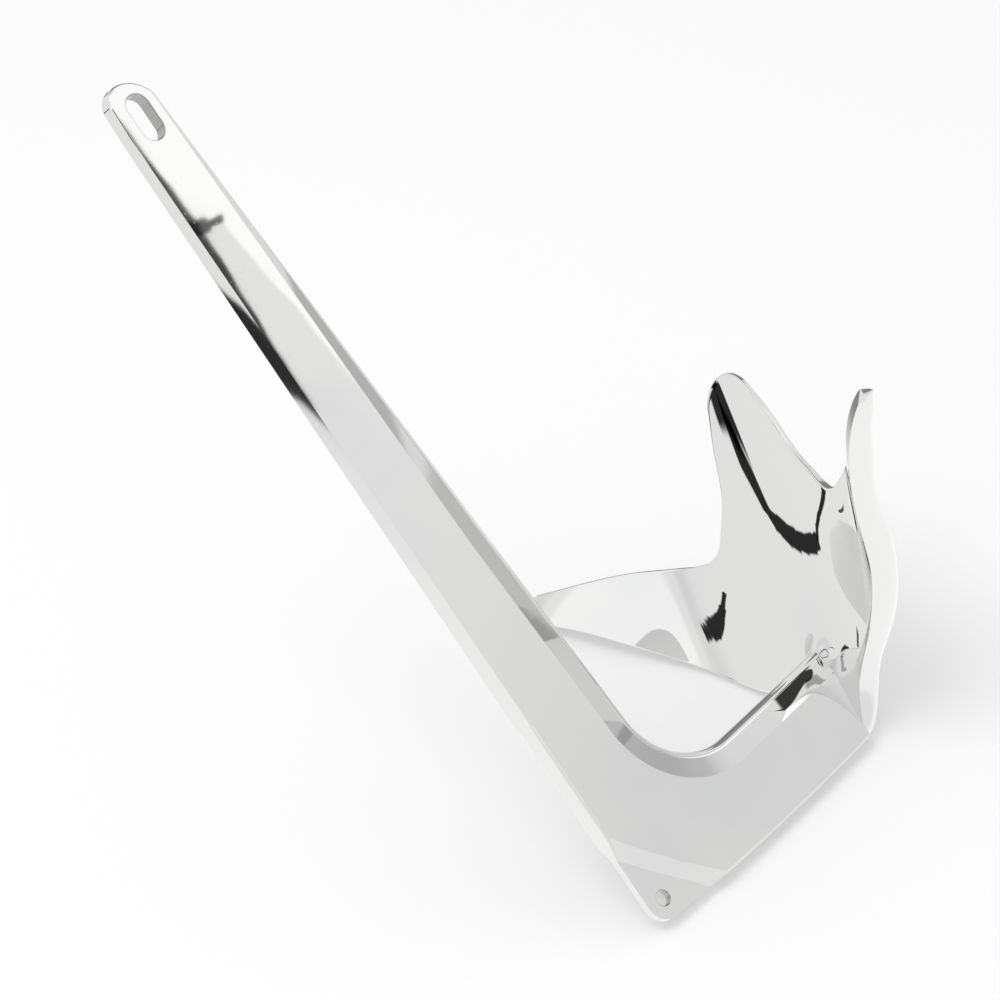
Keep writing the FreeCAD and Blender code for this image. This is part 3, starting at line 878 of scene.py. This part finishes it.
    def dish(self, x: float, y: float) -> float:
        """Give how far back the dished palm lies.

        Args:
            x: height up the centre toe.
            y: distance across.

        Returns:
            The depth, without the hollow and the swelling.
        """
        d = x - self.foot
        s = abs(y) / self.half_span
        centre = self.palm_depth - self.palm_backset * d - 0.5 * d * d / self.palm_radius
        twist = self.twist * s * s * (self.upper(y) - x)
        return centre - self.half_span * self.forward(s) - twist

    def front(self, x: float, y: float) -> float:
        """Give the front of the claw: swollen at the arm, the centre toe hollowed.

        Args:
            x: height up the centre toe.
            y: distance across.

        Returns:
            The depth of the front.
        """
        off = (y * y + (x - self.foot - self.collar_up) ** 2) / self.collar_spread ** 2
        up = (x - self.foot) / self.height
        share = ease((up - self.hollow_from) / (self.hollow_full - self.hollow_from))
        wide = self.half_span * (self.toe_width[0] - self.toe_width[1] * up)
        u, rim = abs(y) / wide, math.exp(-0.5)
        if u < 1.0:
            spoon = (math.exp(-0.5 * u * u) - rim) / (1.0 - rim)
        else:
            spoon = -rim / (1.0 - rim) * self.hollow_ease * (1.0 - math.exp((1.0 - u) / self.hollow_ease))
        return self.dish(x, y) - self.collar_rise * math.exp(-off) + self.hollow * wide * share * spoon

    def back(self, x: float, y: float) -> float:
        """Give the back of the claw."""
        return self.dish(x, y) + self.thickness(x, y)

    def root_spread(self, y: float) -> float:
        """Give how much of the root is left at y."""
        return 1.0 / (1.0 + (y / self.root_width) ** 2) ** 1.5

    def thickness(self, x: float, y: float) -> float:
        """Give the claw's thickness: a ridge along each toe, thin rims.

        Args:
            x: height up the centre toe.
            y: distance across.

        Returns:
            The thickness in millimetres.
        """
        y = abs(y)
        narrowest = 10.0
        wall = self.lower_rim + (self.root_back - self.lower_rim) * self.root_spread(y)
        wide = max(self.upper(y) - self.low(y), narrowest)
        drop = self.root_drop * self.root_spread(y)
        rise = self.ridge_place * wide + drop
        s = x - self.low(y) + drop
        blunt = math.sqrt(max(1.0 - max(1.0 - s / rise, 0.0) ** 2, 0.0))
        past = max(s - rise, 0.0) / (wide - self.ridge_place * wide)
        side = self.ridge_thick * self.ridge(y / self.half_span) - self.rim
        side *= math.exp(-(past / self.ridge_fall) ** 2)
        width = self.centre_width + self.centre_spread * max(self.toe_tip - x, 0.0)
        share = ease(((x - self.foot) / self.height - self.centre_fade) / (1.0 - self.centre_fade))
        high = self.centre_ridge + (self.centre_end - self.centre_ridge) * share
        centre = (high - self.rim) * math.exp(-2.0 * (y / width) ** 2)
        both = self.rim + side + centre - side * centre / self.ridge_thick
        return wall + (both - wall) * blunt

    def across(self) -> list[float]:
        """Space the columns evenly along the upper outline.

        Returns:
            Places across the claw, from one toe tip to the other.
        """
        fine, steep, last_gaps = 3000, 0.55, (1.1, 0.6, 0.25, 0.0)
        ys = [self.half_span * i / fine for i in range(fine + 1)]
        run = [0.0]
        for a, b in zip(ys, ys[1:]):
            run.append(run[-1] + math.hypot(b - a, steep * (self.top(b) - self.top(a))))
        half, places, i = self.columns // 2, [], 0
        for j in range(half + 1):
            goal = run[-1] * j / half
            while i < fine - 1 and run[i + 1] < goal:
                i += 1
            t = (goal - run[i]) / (run[i + 1] - run[i])
            places.append(ys[i] + min(max(t, 0.0), 1.0) * (ys[i + 1] - ys[i]))
        places[-1:] = [self.half_span - gap for gap in last_gaps]
        return [-y for y in reversed(places[1:])] + places

    def ring(self, y: float) -> list[Point3]:
        """Give the section at y, up the front and down the back.

        Args:
            y: distance across.

        Returns:
            A closed ring of points in the anchor's frame.
        """
        low, top, crowding = self.low(y), self.top(y), 1.5
        root = low - self.root_drop * self.root_spread(y)
        points = []
        for i in range(self.rows + 1):
            x = low + (top - low) * i / self.rows
            points.append((x, self.front(x, y)))
        for i in range(self.rows, -1, -1):
            x = root + (top - root) * (i / self.rows) ** crowding
            points.append((x, self.back(x, y)))
        c, s = math.cos(math.radians(self.lean)), math.sin(math.radians(self.lean))
        return [(x * c - z * s, y, x * s + z * c) for x, z in points]

    def own(self, point: Vector) -> Point3:
        """Turn a point of the mesh into the claw's own frame, in millimetres."""
        c, s = math.cos(math.radians(self.lean)), math.sin(math.radians(self.lean))
        x, y, z = point / MM
        return (x * c + z * s, y, z * c - x * s)

    def build(self) -> bpy.types.Object:
        """Model the claw.

        Returns:
            The claw in the anchor's own frame, in metres.
        """
        piece = Bench.loft("claw", [self.ring(y) for y in self.across()])
        near, sharp = 0.02, 0.6

        def is_upper(edge: bmesh.types.BMEdge) -> bool:
            """Tell whether an edge runs along the upper rim."""
            ends = [self.own(v.co) for v in edge.verts]
            return (edge.calc_face_angle(0.0) > sharp
                    and all(abs(x - self.top(y)) < near for x, y, _ in ends))

        def is_lower(edge: bmesh.types.BMEdge) -> bool:
            """Tell whether an edge runs along the lower rim."""
            ends = [self.own(v.co) for v in edge.verts]
            return (edge.calc_face_angle(0.0) > sharp
                    and all(x < self.low(y) + near for x, y, _ in ends))

        Bench.round_edges(piece, is_upper, self.rim_round, segments=4)
        Bench.round_edges(piece, is_lower, self.lower_round, segments=3)
        return piece


class Graph:
    """A short way to lay out shader nodes."""

    def __init__(self, tree: bpy.types.NodeTree) -> None:
        """Start from an empty tree.

        Args:
            tree: the node tree to fill.
        """
        self.tree = tree
        tree.nodes.clear()

    def add(self, kind: str, values: dict | None = None, **settings: object) -> bpy.types.Node:
        """Add a node, set it and link it.

        Args:
            kind: the node's type.
            values: what goes into its sockets, by name or number: an output
                socket is linked, and anything else is the socket's value.
            settings: the node's own properties.

        Returns:
            The node.
        """
        node = self.tree.nodes.new(kind)
        for name, value in settings.items():
            setattr(node, name, value)
        for key, value in (values or {}).items():
            socket = node.inputs[key]
            if isinstance(value, bpy.types.NodeSocket):
                self.tree.links.new(value, socket)
            else:
                socket.default_value = value
        return node

    def math(self, operation: str, a: object, b: object = 0.0,
             clamp: bool = False) -> bpy.types.NodeSocket:
        """Add a Math node.

        Args:
            operation: what it works out.
            a: its first number or socket.
            b: its second one.
            clamp: whether the result is held between 0 and 1.

        Returns:
            The result.
        """
        node = self.add("ShaderNodeMath", {0: a, 1: b}, operation=operation, use_clamp=clamp)
        return node.outputs[0]

    def fold(self, operation: str, parts: Iterable[bpy.types.NodeSocket]) -> bpy.types.NodeSocket:
        """Chain Math nodes over all the parts and give the result."""
        return reduce(lambda a, b: self.math(operation, a, b), parts)

    def mix(self, share: bpy.types.NodeSocket, first: object, last: object) -> bpy.types.NodeSocket:
        """Mix two colours.

        Args:
            share: how much of the last colour shows.
            first: a socket or three numbers.
            last: the same.

        Returns:
            The mixed colour.
        """
        colours = [c if isinstance(c, bpy.types.NodeSocket) else (*c, 1.0) for c in (first, last)]
        node = self.add("ShaderNodeMix", {0: share, 6: colours[0], 7: colours[1]}, data_type="RGBA")
        return node.outputs[2]

    def dot(self, a: object, direction: Sequence[float]) -> bpy.types.NodeSocket:
        """Give how much of a runs along a fixed direction."""
        node = self.add("ShaderNodeVectorMath", {0: a, 1: tuple(direction)}, operation="DOT_PRODUCT")
        return node.outputs["Value"]

    def fade(self, value: bpy.types.NodeSocket, start: float, end: float,
             low: float = 0.0, high: float = 1.0) -> bpy.types.NodeSocket:
        """Move softly from one value to another.

        Args:
            value: what the result follows.
            start: up to here the result is low.
            end: from here on it is high.
            low: the first value.
            high: the second value.

        Returns:
            The result.
        """
        node = self.add("ShaderNodeMapRange", {"Value": value, "From Min": start, "From Max": end,
                                               "To Min": low, "To Max": high},
                        interpolation_type="SMOOTHERSTEP")
        return node.outputs["Result"]


@dataclass(frozen=True)
class MirrorSteel:
    """Cast stainless steel, ground smooth and buffed to a mirror.

    Lengths are in metres. The casting keeps a faint waviness from the
    grinding wheel, the buff leaves hair lines, and the shine varies a little.

    Attributes:
        tint: colour of the steel.
        dull_tint: its colour where the shine is less.
        wave_scale: waves to the metre.
        wave_depth: their depth.
        haze_scale: patches of lesser shine to the metre.
        hair_scale: hair lines to the metre, along and across.
        hair_turn: how the hair lines run, as turns in radians.
        speck_scale: specks to the metre.
        buff_depth: depth of the hair lines.
        shine: roughness where the shine is best.
        dull: roughness where it is least.
        line_haze: roughness that a hair line adds.
        speck_haze: roughness that a speck adds.
        painted_shade_tint: colour of the walls of slot and hole, a dark grey that
            is painted shade for the inside of the bores.
        ground_rough: roughness that these walls add, as they are only ground.
        wall_edge: how far outside a bore its wall begins and ends to fade.
    """

    tint: Point3 = (0.80, 0.80, 0.79)
    dull_tint: Point3 = (0.75, 0.755, 0.755)
    wave_scale: float = 22.0
    wave_depth: float = 0.00002
    haze_scale: float = 9.0
    hair_scale: Point3 = (60.0, 1400.0, 1400.0)
    hair_turn: Point3 = (0.3, 0.9, 0.5)
    speck_scale: float = 260.0
    buff_depth: float = 0.0000001
    shine: float = 0.008
    dull: float = 0.022
    line_haze: float = 0.006
    speck_haze: float = 0.02
    painted_shade_tint: Point3 = (0.42, 0.42, 0.41)
    ground_rough: float = 0.22
    wall_edge: Point2 = (0.25 * MM, 0.45 * MM)

    def in_bore(self, graph: Graph, place: bpy.types.NodeSocket, lay: Matrix,
                bore: tuple[float, float, float, float]) -> bpy.types.NodeSocket:
        """Tell which points lie on the wall of a bore through the plate.

        Args:
            graph: the material's nodes.
            place: the point that is shaded.
            lay: turns the anchor's own frame into the row frame.
            bore: x and z of its middle, half of its straight length, and its radius.

        Returns:
            1 on the wall of the bore, and 0 elsewhere.
        """
        x, z, half, radius = (value * MM for value in bore)
        middle = lay @ Vector((x, 0.0, z))
        along, up = (lay.to_3x3() @ Vector(axis) for axis in ((1.0, 0.0, 0.0), (0.0, 0.0, 1.0)))
        u = graph.math("ABSOLUTE", graph.math("SUBTRACT", graph.dot(place, along), middle.dot(along)))
        u = graph.math("MAXIMUM", graph.math("SUBTRACT", u, half), 0.0)
        v = graph.math("SUBTRACT", graph.dot(place, up), middle.dot(up))
        off = graph.math("SQRT", graph.math("ADD", graph.math("MULTIPLY", u, u),
                                            graph.math("MULTIPLY", v, v)))
        return graph.fade(off, radius + self.wall_edge[0], radius + self.wall_edge[1], 1.0, 0.0)

    def material(self, lay: Matrix,
                 bores: Sequence[tuple[float, float, float, float]]) -> bpy.types.Material:
        """Build the material.

        Args:
            lay: turns the anchor's own frame into the row frame.
            bores: the holes whose walls are only ground, not buffed, and are
            darker in colour as painted shade.

        Returns:
            The finished material.
        """
        material = bpy.data.materials.new("mirror_steel")
        material.use_nodes = True
        graph = Graph(material.node_tree)
        place = graph.add("ShaderNodeTexCoord").outputs["Object"]
        wave = graph.add("ShaderNodeTexNoise", {"Vector": place, "Scale": self.wave_scale,
                                                "Detail": 1.5, "Roughness": 0.4})
        haze = graph.add("ShaderNodeTexNoise", {"Vector": place, "Scale": self.haze_scale,
                                                "Detail": 3.0, "Roughness": 0.55})
        along = graph.add("ShaderNodeMapping", {"Vector": place, "Rotation": self.hair_turn,
                                                "Scale": self.hair_scale})
        hair = graph.add("ShaderNodeTexNoise", {"Vector": along.outputs[0], "Scale": 1.0,
                                                "Detail": 4.0, "Roughness": 0.7})
        specks = graph.add("ShaderNodeTexVoronoi", {"Vector": place, "Scale": self.speck_scale})
        speck = graph.fade(specks.outputs["Distance"], 0.05, 0.16, 1.0, 0.0)
        soft = graph.fade(haze.outputs["Fac"], 0.35, 0.7, self.shine, self.dull)
        line = graph.fade(hair.outputs["Fac"], 0.55, 0.75, 0.0, self.line_haze)
        wall = graph.fold("MAXIMUM", [self.in_bore(graph, place, lay, bore) for bore in bores])
        rough = graph.fold("ADD", (soft, line, graph.math("MULTIPLY", speck, self.speck_haze),
                                   graph.math("MULTIPLY", wall, self.ground_rough)))
        tone = graph.fade(haze.outputs["Fac"], 0.4, 0.75)
        # The walls of slot and hole take a dark grey colour: painted shade for the inside of the bores.
        # Their extra roughness above is the real ground finish.
        colour = graph.mix(wall, graph.mix(tone, self.tint, self.dull_tint), self.painted_shade_tint)
        waves = graph.add("ShaderNodeBump", {"Height": wave.outputs["Fac"], "Strength": 1.0,
                                             "Distance": self.wave_depth})
        buff = graph.add("ShaderNodeBump", {"Height": hair.outputs["Fac"], "Strength": 1.0,
                                            "Distance": self.buff_depth,
                                            "Normal": waves.outputs["Normal"]})
        steel = graph.add("ShaderNodeBsdfPrincipled", {
            "Base Color": colour, "Metallic": 1.0, "Roughness": rough,
            "Normal": buff.outputs["Normal"]})
        graph.add("ShaderNodeOutputMaterial", {"Surface": steel.outputs[0]})
        return material


@dataclass
class Casting:
    """The whole anchor: plate and claw joined into one piece.

    Attributes:
        plate: the shank, the heel and the arm.
        claw: the three-toed claw.
        finish: the steel's finish.
        crease: angle past which every edge is sharp, in degrees.
        flat: a face whose normal runs this much across is the inner edge's flat.
        bevel_start: one whose normal runs less across than this is its bevel.
        side: the same as flat at the heel.
        facet: the same as bevel_start at the heel.
        claw_from: how far before the arm's end only crease counts.
        inner_from: height and depth from which an edge is the inner edge's.
        shine_weight: how much large faces bend the shading.
    """

    plate: Plate
    claw: Claw
    finish: MirrorSteel
    crease: float = 30.0
    flat: float = 0.9997
    bevel_start: float = 0.9990
    side: float = 0.998
    facet: float = 0.993
    claw_from: float = 6.0
    inner_from: Point2 = (20.0, 15.0)
    shine_weight: int = 60

    def is_crease(self, edge: bmesh.types.BMEdge) -> bool:
        """Tell whether the shine breaks along an edge.

        Args:
            edge: an edge of the joined casting, in the anchor's own frame.

        Returns:
            True along sharp edges, and between the flats and the bevel.
        """
        if len(edge.link_faces) != 2:
            return True
        angle = math.degrees(edge.calc_face_angle(0.0))
        if angle > self.crease:
            return True
        mid = 0.5 * (edge.verts[0].co + edge.verts[1].co) / MM
        if mid.z > self.plate.arm_low_end - self.claw_from:
            return False
        less, more = sorted(abs(face.normal.y) for face in edge.link_faces)
        if mid.x > self.inner_from[0] and mid.z > self.inner_from[1]:
            return more > self.flat and less < self.bevel_start
        return more > self.side and less < self.facet

    def build(self, lay: Matrix) -> bpy.types.Object:
        """Model the casting, lay it down and dress it.

        Args:
            lay: turns the anchor's own frame into the row frame.

        Returns:
            The finished piece.
        """
        piece = self.plate.build()
        Bench.combine(piece, self.claw.build(), Cut.JOIN)
        Bench.take(piece)
        bpy.ops.object.shade_smooth()
        Bench.pick_edges(piece, self.is_crease)
        bpy.ops.mesh.mark_sharp()
        bpy.ops.mesh.select_mode(type="VERT")
        bpy.ops.object.mode_set(mode="OBJECT")
        piece.data.transform(lay)
        modifier = piece.modifiers.new("even shine", "WEIGHTED_NORMAL")
        modifier.keep_sharp = True
        modifier.weight = self.shine_weight
        Bench.take(piece)
        bpy.ops.object.modifier_apply(modifier=modifier.name)
        piece.name = "polished_casting"
        piece.data.materials.clear()
        piece.data.materials.append(self.finish.material(lay, self.plate.bores()))
        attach(piece, "root")
        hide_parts(NODE)
        return piece


@dataclass(frozen=True)
class Seam:
    """A dark gap between the white sheets that stand round the anchor.

    Azimuth 0 is the photograph's side, -Y, and 90 is +X.

    Attributes:
        path: azimuth, elevation and half width of its points, in degrees.
        depth: how much of the light it takes away.
        soft: how much of its width its edges take to fade.
    """

    path: tuple[Point3, ...]
    depth: float
    soft: float = 0.18

    @staticmethod
    def way(azimuth: float, elevation: float) -> Vector:
        """Turn azimuth and elevation in degrees into a direction."""
        a, e = math.radians(azimuth), math.radians(elevation)
        return Vector((math.sin(a) * math.cos(e), -math.cos(a) * math.cos(e), math.sin(e)))

    def light(self, graph: Graph, way: bpy.types.NodeSocket) -> bpy.types.NodeSocket:
        """Give how much light is left in a direction.

        Args:
            graph: the world's nodes.
            way: the direction that is looked in.

        Returns:
            1 beside the seam, and less within it.
        """
        pieces = []
        for start, end in zip(self.path, self.path[1:]):
            a, b = self.way(start[0], start[1]), self.way(end[0], end[1])
            wide = math.radians(0.5 * (start[2] + end[2]))
            off = graph.math("ABSOLUTE", graph.dot(way, a.cross(b).normalized()))
            edge, fade_from, fade_to = math.sin(wide), 0.3, 0.7
            across = graph.fade(off, (1.0 - self.soft) * edge, (1.0 + self.soft) * edge, 1.0, 0.0)
            half = 0.5 * a.angle(b)
            far, near = math.cos(half + fade_to * wide), math.cos(half + fade_from * wide)
            along = graph.fade(graph.dot(way, (a + b).normalized()), far, near)
            pieces.append(graph.math("MULTIPLY", across, along))
        dark = graph.math("MULTIPLY", graph.fold("MAXIMUM", pieces), self.depth)
        return graph.math("SUBTRACT", 1.0, dark)


@dataclass
class Studio:
    """White floor, white room, a soft lamp and the photograph's camera.

    Attributes:
        floor_size: side of the floor, in metres.
        floor_white: how white it is.
        floor_lift: light that the camera sees on it besides, so it looks white.
        room: light of the room on the anchor and the floor.
        lamp_power: power of the lamp, in watts.
        lamp_size: its diameter, in metres.
        lamp_place: where it hangs, in metres.
        lens_mm: the camera's focal length.
        sensor_mm: width of its sensor.
        aim_mm: the point it looks at, in the anchor's frame.
        tilt: how far it stands off the shank's side, in degrees.
        turn: how far it is turned about its own axis, in degrees.
        distance_mm: how far away it stands.
        sheets: bands of the room that the steel mirrors: two elevations in
            degrees, and the light up to the first and from the second. The
            bands add up.
        white_sheet: light that the brighter sheet adds.
        sheet_side: azimuth and elevation of two points on its side edge, and
            of one beyond it.
        sheet_top: the same for its top edge.
        sheet_middle: azimuth and elevation of its middle.
        sheet_reach: how far it reaches from there, in degrees.
        sheet_fade: over how many degrees it fades out.
        seams: the dark gaps between the sheets.
    """

    floor_size: float = 30.0
    floor_white: float = 0.84
    floor_lift: float = 0.12
    room: float = 0.85
    lamp_power: float = 16.0
    lamp_size: float = 1.8
    lamp_place: Point3 = (-0.9, -0.5, 2.4)
    lens_mm: float = 180.0
    sensor_mm: float = 36.0
    aim_mm: Point3 = (197.7, 28.8, 39.6)
    tilt: float = 36.0
    turn: float = 55.9
    distance_mm: float = 2260.0
    sheets: tuple[tuple[float, float, float, float], ...] = (
        (-36.0, -27.0, 1.08, 0.93), (12.0, 26.0, 0.0, -0.10), (26.5, 34.9, 0.0, 0.12),
        (36.5, 42.0, 0.0, 0.16), (-88.0, -74.0, -0.4, 0.0))
    white_sheet: float = 0.27
    sheet_side: tuple[Point2, Point2, Point2] = ((91.05, 34.95), (89.92, 33.08), (93.0, 33.0))
    sheet_top: tuple[Point2, Point2, Point2] = ((90.91, 35.21), (91.05, 34.95), (93.0, 36.0))
    sheet_middle: Point2 = (93.0, 38.0)
    sheet_reach: float = 7.0
    sheet_fade: float = 4.0
    seams: tuple[Seam, ...] = (
        Seam(((-86.35, 5.4, 0.3), (-86.1, 8.0, 0.5), (-85.6, 10.6, 0.65), (-84.95, 12.8, 0.65),
              (-83.95, 15.5, 0.6), (-82.5, 18.4, 0.42), (-80.9, 21.4, 0.34), (-79.4, 24.0, 0.3)), 0.97),
        Seam(((-88.0, -10.6, 1.0), (-91.0, -12.6, 1.7), (-93.2, -14.2, 1.6), (-95.2, -15.3, 1.2)), 0.97),
        Seam(((-90.9, -10.9, 0.7), (-93.2, -11.9, 0.75), (-95.2, -12.5, 1.0), (-97.4, -12.4, 1.2),
              (-100.0, -13.4, 1.5), (-104.3, -15.0, 1.6), (-108.5, -17.2, 1.2), (-112.6, -19.5, 1.0),
              (-116.8, -22.2, 0.9), (-118.9, -23.7, 0.6)), 0.97),
        Seam(((-118.9, -23.7, 0.4), (-119.9, -25.4, 0.3), (-121.6, -27.1, 0.25), (-123.0, -28.2, 0.2)),
             0.97),
        Seam(((-125.5, -26.8, 0.3), (-127.8, -26.5, 0.35)), 0.9),
        Seam(((-95.2, -27.57, 0.21), (-92.9, -29.48, 0.21)), 0.97),
        Seam(((92.6, 31.2, 1.1), (101.0, 26.6, 1.3)), 0.55),
        Seam(((102.3, 25.2, 1.2), (107.0, 17.6, 1.3)), 0.3),
        Seam(((107.8, 15.6, 1.3), (109.0, 22.5, 1.3), (108.2, 29.5, 1.3), (105.0, 35.8, 1.3),
              (100.6, 40.6, 1.5), (97.0, 43.4, 1.8)), 0.36),
        Seam(((91.37, 36.49, 0.3), (90.59, 35.36, 0.3), (90.38, 35.12, 0.3), (88.93, 33.34, 0.3)),
             0.93, 0.06),
        Seam(((90.74, 35.2, 0.13), (90.9, 35.08, 0.06), (91.06, 34.95, 0.03)), 0.85, 0.3),
        Seam(((14.0, 46.3, 2.4), (45.0, 48.6, 2.6), (77.0, 43.2, 2.2)), 0.92),
        Seam(((-65.0, 62.0, 4.4), (-42.0, 62.5, 5.0)), 0.95),
        Seam(((-42.0, 56.0, 4.0), (-22.0, 57.0, 4.0)), 0.5),
        Seam(((-179.0, -24.0, 22.0), (175.0, 24.0, 22.0), (165.0, 70.0, 18.0)), 0.72),
        Seam(((-60.0, -42.0, 15.0), (20.0, -50.0, 15.0)), 0.55),
    )

    def view(self, lay: Matrix) -> Matrix:
        """Work out where the camera stands.

        Args:
            lay: turns the anchor's own frame into the row frame.

        Returns:
            The camera's matrix.
        """
        t, a = math.radians(self.tilt), math.radians(self.turn)
        back = Vector((0.0, math.cos(t), -math.sin(t)))
        right = Vector((-math.cos(a), math.sin(a) * math.sin(t), math.sin(a) * math.cos(t)))
        up = back.cross(right)
        turn = Matrix((right, up, back)).transposed().to_4x4()
        place = (Vector(self.aim_mm) + back * self.distance_mm) * MM
        return lay @ Matrix.Translation(place) @ turn

    def camera(self, matrix: Matrix) -> None:
        """Add the camera and make it the scene's own.

        Args:
            matrix: where it stands and how it is turned.
        """
        data = bpy.data.cameras.new("photo_camera")
        data.lens = self.lens_mm
        data.sensor_width = self.sensor_mm
        data.clip_end = 100.0
        camera = bpy.data.objects.new("photo_camera", data)
        camera.matrix_world = matrix
        bpy.context.scene.collection.objects.link(camera)
        bpy.context.scene.camera = camera

    def floor(self) -> None:
        """Lay the white floor, which keeps the anchor's shadow."""
        Bench.clear()
        bpy.ops.mesh.primitive_plane_add(size=self.floor_size)
        floor = bpy.context.object
        floor.name = "studio_floor"
        material = bpy.data.materials.new("white_floor")
        material.use_nodes = True
        graph = Graph(material.node_tree)
        path = graph.add("ShaderNodeLightPath")
        seen = graph.math("ADD", path.outputs["Is Camera Ray"], path.outputs["Is Glossy Ray"], clamp=True)
        seen = graph.math("ADD", seen, path.outputs["Is Transmission Ray"], clamp=True)
        white = (self.floor_white,) * 3 + (1.0,)
        matt = graph.add("ShaderNodeBsdfDiffuse", {"Color": white})
        lift = graph.add("ShaderNodeEmission", {
            "Color": WHITE, "Strength": graph.math("MULTIPLY", seen, self.floor_lift)})
        both = graph.add("ShaderNodeAddShader", {0: matt.outputs[0], 1: lift.outputs[0]})
        graph.add("ShaderNodeOutputMaterial", {"Surface": both.outputs[0]})
        floor.data.materials.append(material)
        floor.visible_glossy = False

    @staticmethod
    def beyond(graph: Graph, way: bpy.types.NodeSocket,
               edge: tuple[Point2, Point2, Point2]) -> bpy.types.NodeSocket:
        """Tell which directions lie beyond the straight edge of a sheet.

        Args:
            graph: the world's nodes.
            way: the direction that is looked in.
            edge: two directions on the edge and one beyond it.

        Returns:
            1 beyond the edge, and 0 on its other side.
        """
        a, b, past = (Seam.way(*place) for place in edge)
        normal = a.cross(b).normalized()
        if normal.dot(past) < 0.0:
            normal.negate()
        soft = 0.0003
        return graph.fade(graph.dot(way, normal), -soft, soft)

    def walls(self) -> None:
        """Set the white room, and the sheets and seams that the steel mirrors."""
        world = bpy.data.worlds.new("white_room")
        bpy.context.scene.world = world
        world.use_nodes = True
        graph = Graph(world.node_tree)
        way = graph.add("ShaderNodeTexCoord").outputs["Generated"]
        path = graph.add("ShaderNodeLightPath")
        height = graph.dot(way, (0.0, 0.0, 1.0))
        mirrored = graph.fold("ADD", [
            graph.fade(height, math.sin(math.radians(low)), math.sin(math.radians(high)), first, last)
            for low, high, first, last in self.sheets])
        white = graph.math("MAXIMUM", self.beyond(graph, way, self.sheet_side),
                           self.beyond(graph, way, self.sheet_top))
        near = graph.fade(graph.dot(way, Seam.way(*self.sheet_middle)),
                          math.cos(math.radians(self.sheet_reach + self.sheet_fade)),
                          math.cos(math.radians(self.sheet_reach)), 0.0, self.white_sheet)
        mirrored = graph.math("ADD", mirrored, graph.math("MULTIPLY", white, near))
        mirrored = graph.fold("MULTIPLY", [mirrored] + [seam.light(graph, way) for seam in self.seams])
        glossy = path.outputs["Is Glossy Ray"]
        camera = path.outputs["Is Camera Ray"]
        lit = graph.math("ADD", self.room, graph.math("MULTIPLY", camera, 1.0 - self.room))
        plain = graph.add("ShaderNodeBackground", {"Color": WHITE, "Strength": lit})
        sheets = graph.add("ShaderNodeBackground", {"Color": WHITE, "Strength": mirrored})
        both = graph.add("ShaderNodeMixShader", {0: glossy, 1: plain.outputs[0], 2: sheets.outputs[0]})
        graph.add("ShaderNodeOutputWorld", {"Surface": both.outputs[0]})

    def lamp(self) -> None:
        """Hang the soft lamp over the anchor."""
        data = bpy.data.lights.new("soft_lamp", "AREA")
        data.shape = "DISK"
        data.size = self.lamp_size
        data.energy = self.lamp_power
        lamp = bpy.data.objects.new("soft_lamp", data)
        place = Vector(self.lamp_place)
        lamp.matrix_world = (Matrix.Translation(place)
                             @ (-place).to_track_quat("-Z", "Y").to_matrix().to_4x4())
        lamp.visible_glossy = False
        bpy.context.scene.collection.objects.link(lamp)

    def build(self, lay: Matrix) -> None:
        """Set up the whole studio.

        Args:
            lay: turns the anchor's own frame into the row frame.
        """
        self.camera(self.view(lay))
        self.floor()
        self.walls()
        self.lamp()
        bpy.context.scene.view_settings.view_transform = "Standard"


def main() -> None:
    """Build the anchor and the studio, and log the casting's triangle count."""
    logging.basicConfig(level=logging.INFO, format="%(name)s: %(message)s")
    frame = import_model()
    plate, claw = Plate(), Claw()
    heel = plate.heel_radius - plate.heel_to_axis
    lay = Lay((heel, 0.0, plate.heel_radius),
              (plate.top - plate.slot_from_top, 0.0, plate.slot_in))
    matrix = lay.matrix(frame["record"]["mounts"])
    piece = Casting(plate, claw, MirrorSteel()).build(matrix)
    triangles = sum(len(face.vertices) - 2 for face in piece.data.polygons)
    LOG.info("%s: %d triangles", piece.name, triangles)
    Studio().build(matrix)


if __name__ == "__main__":
    main()
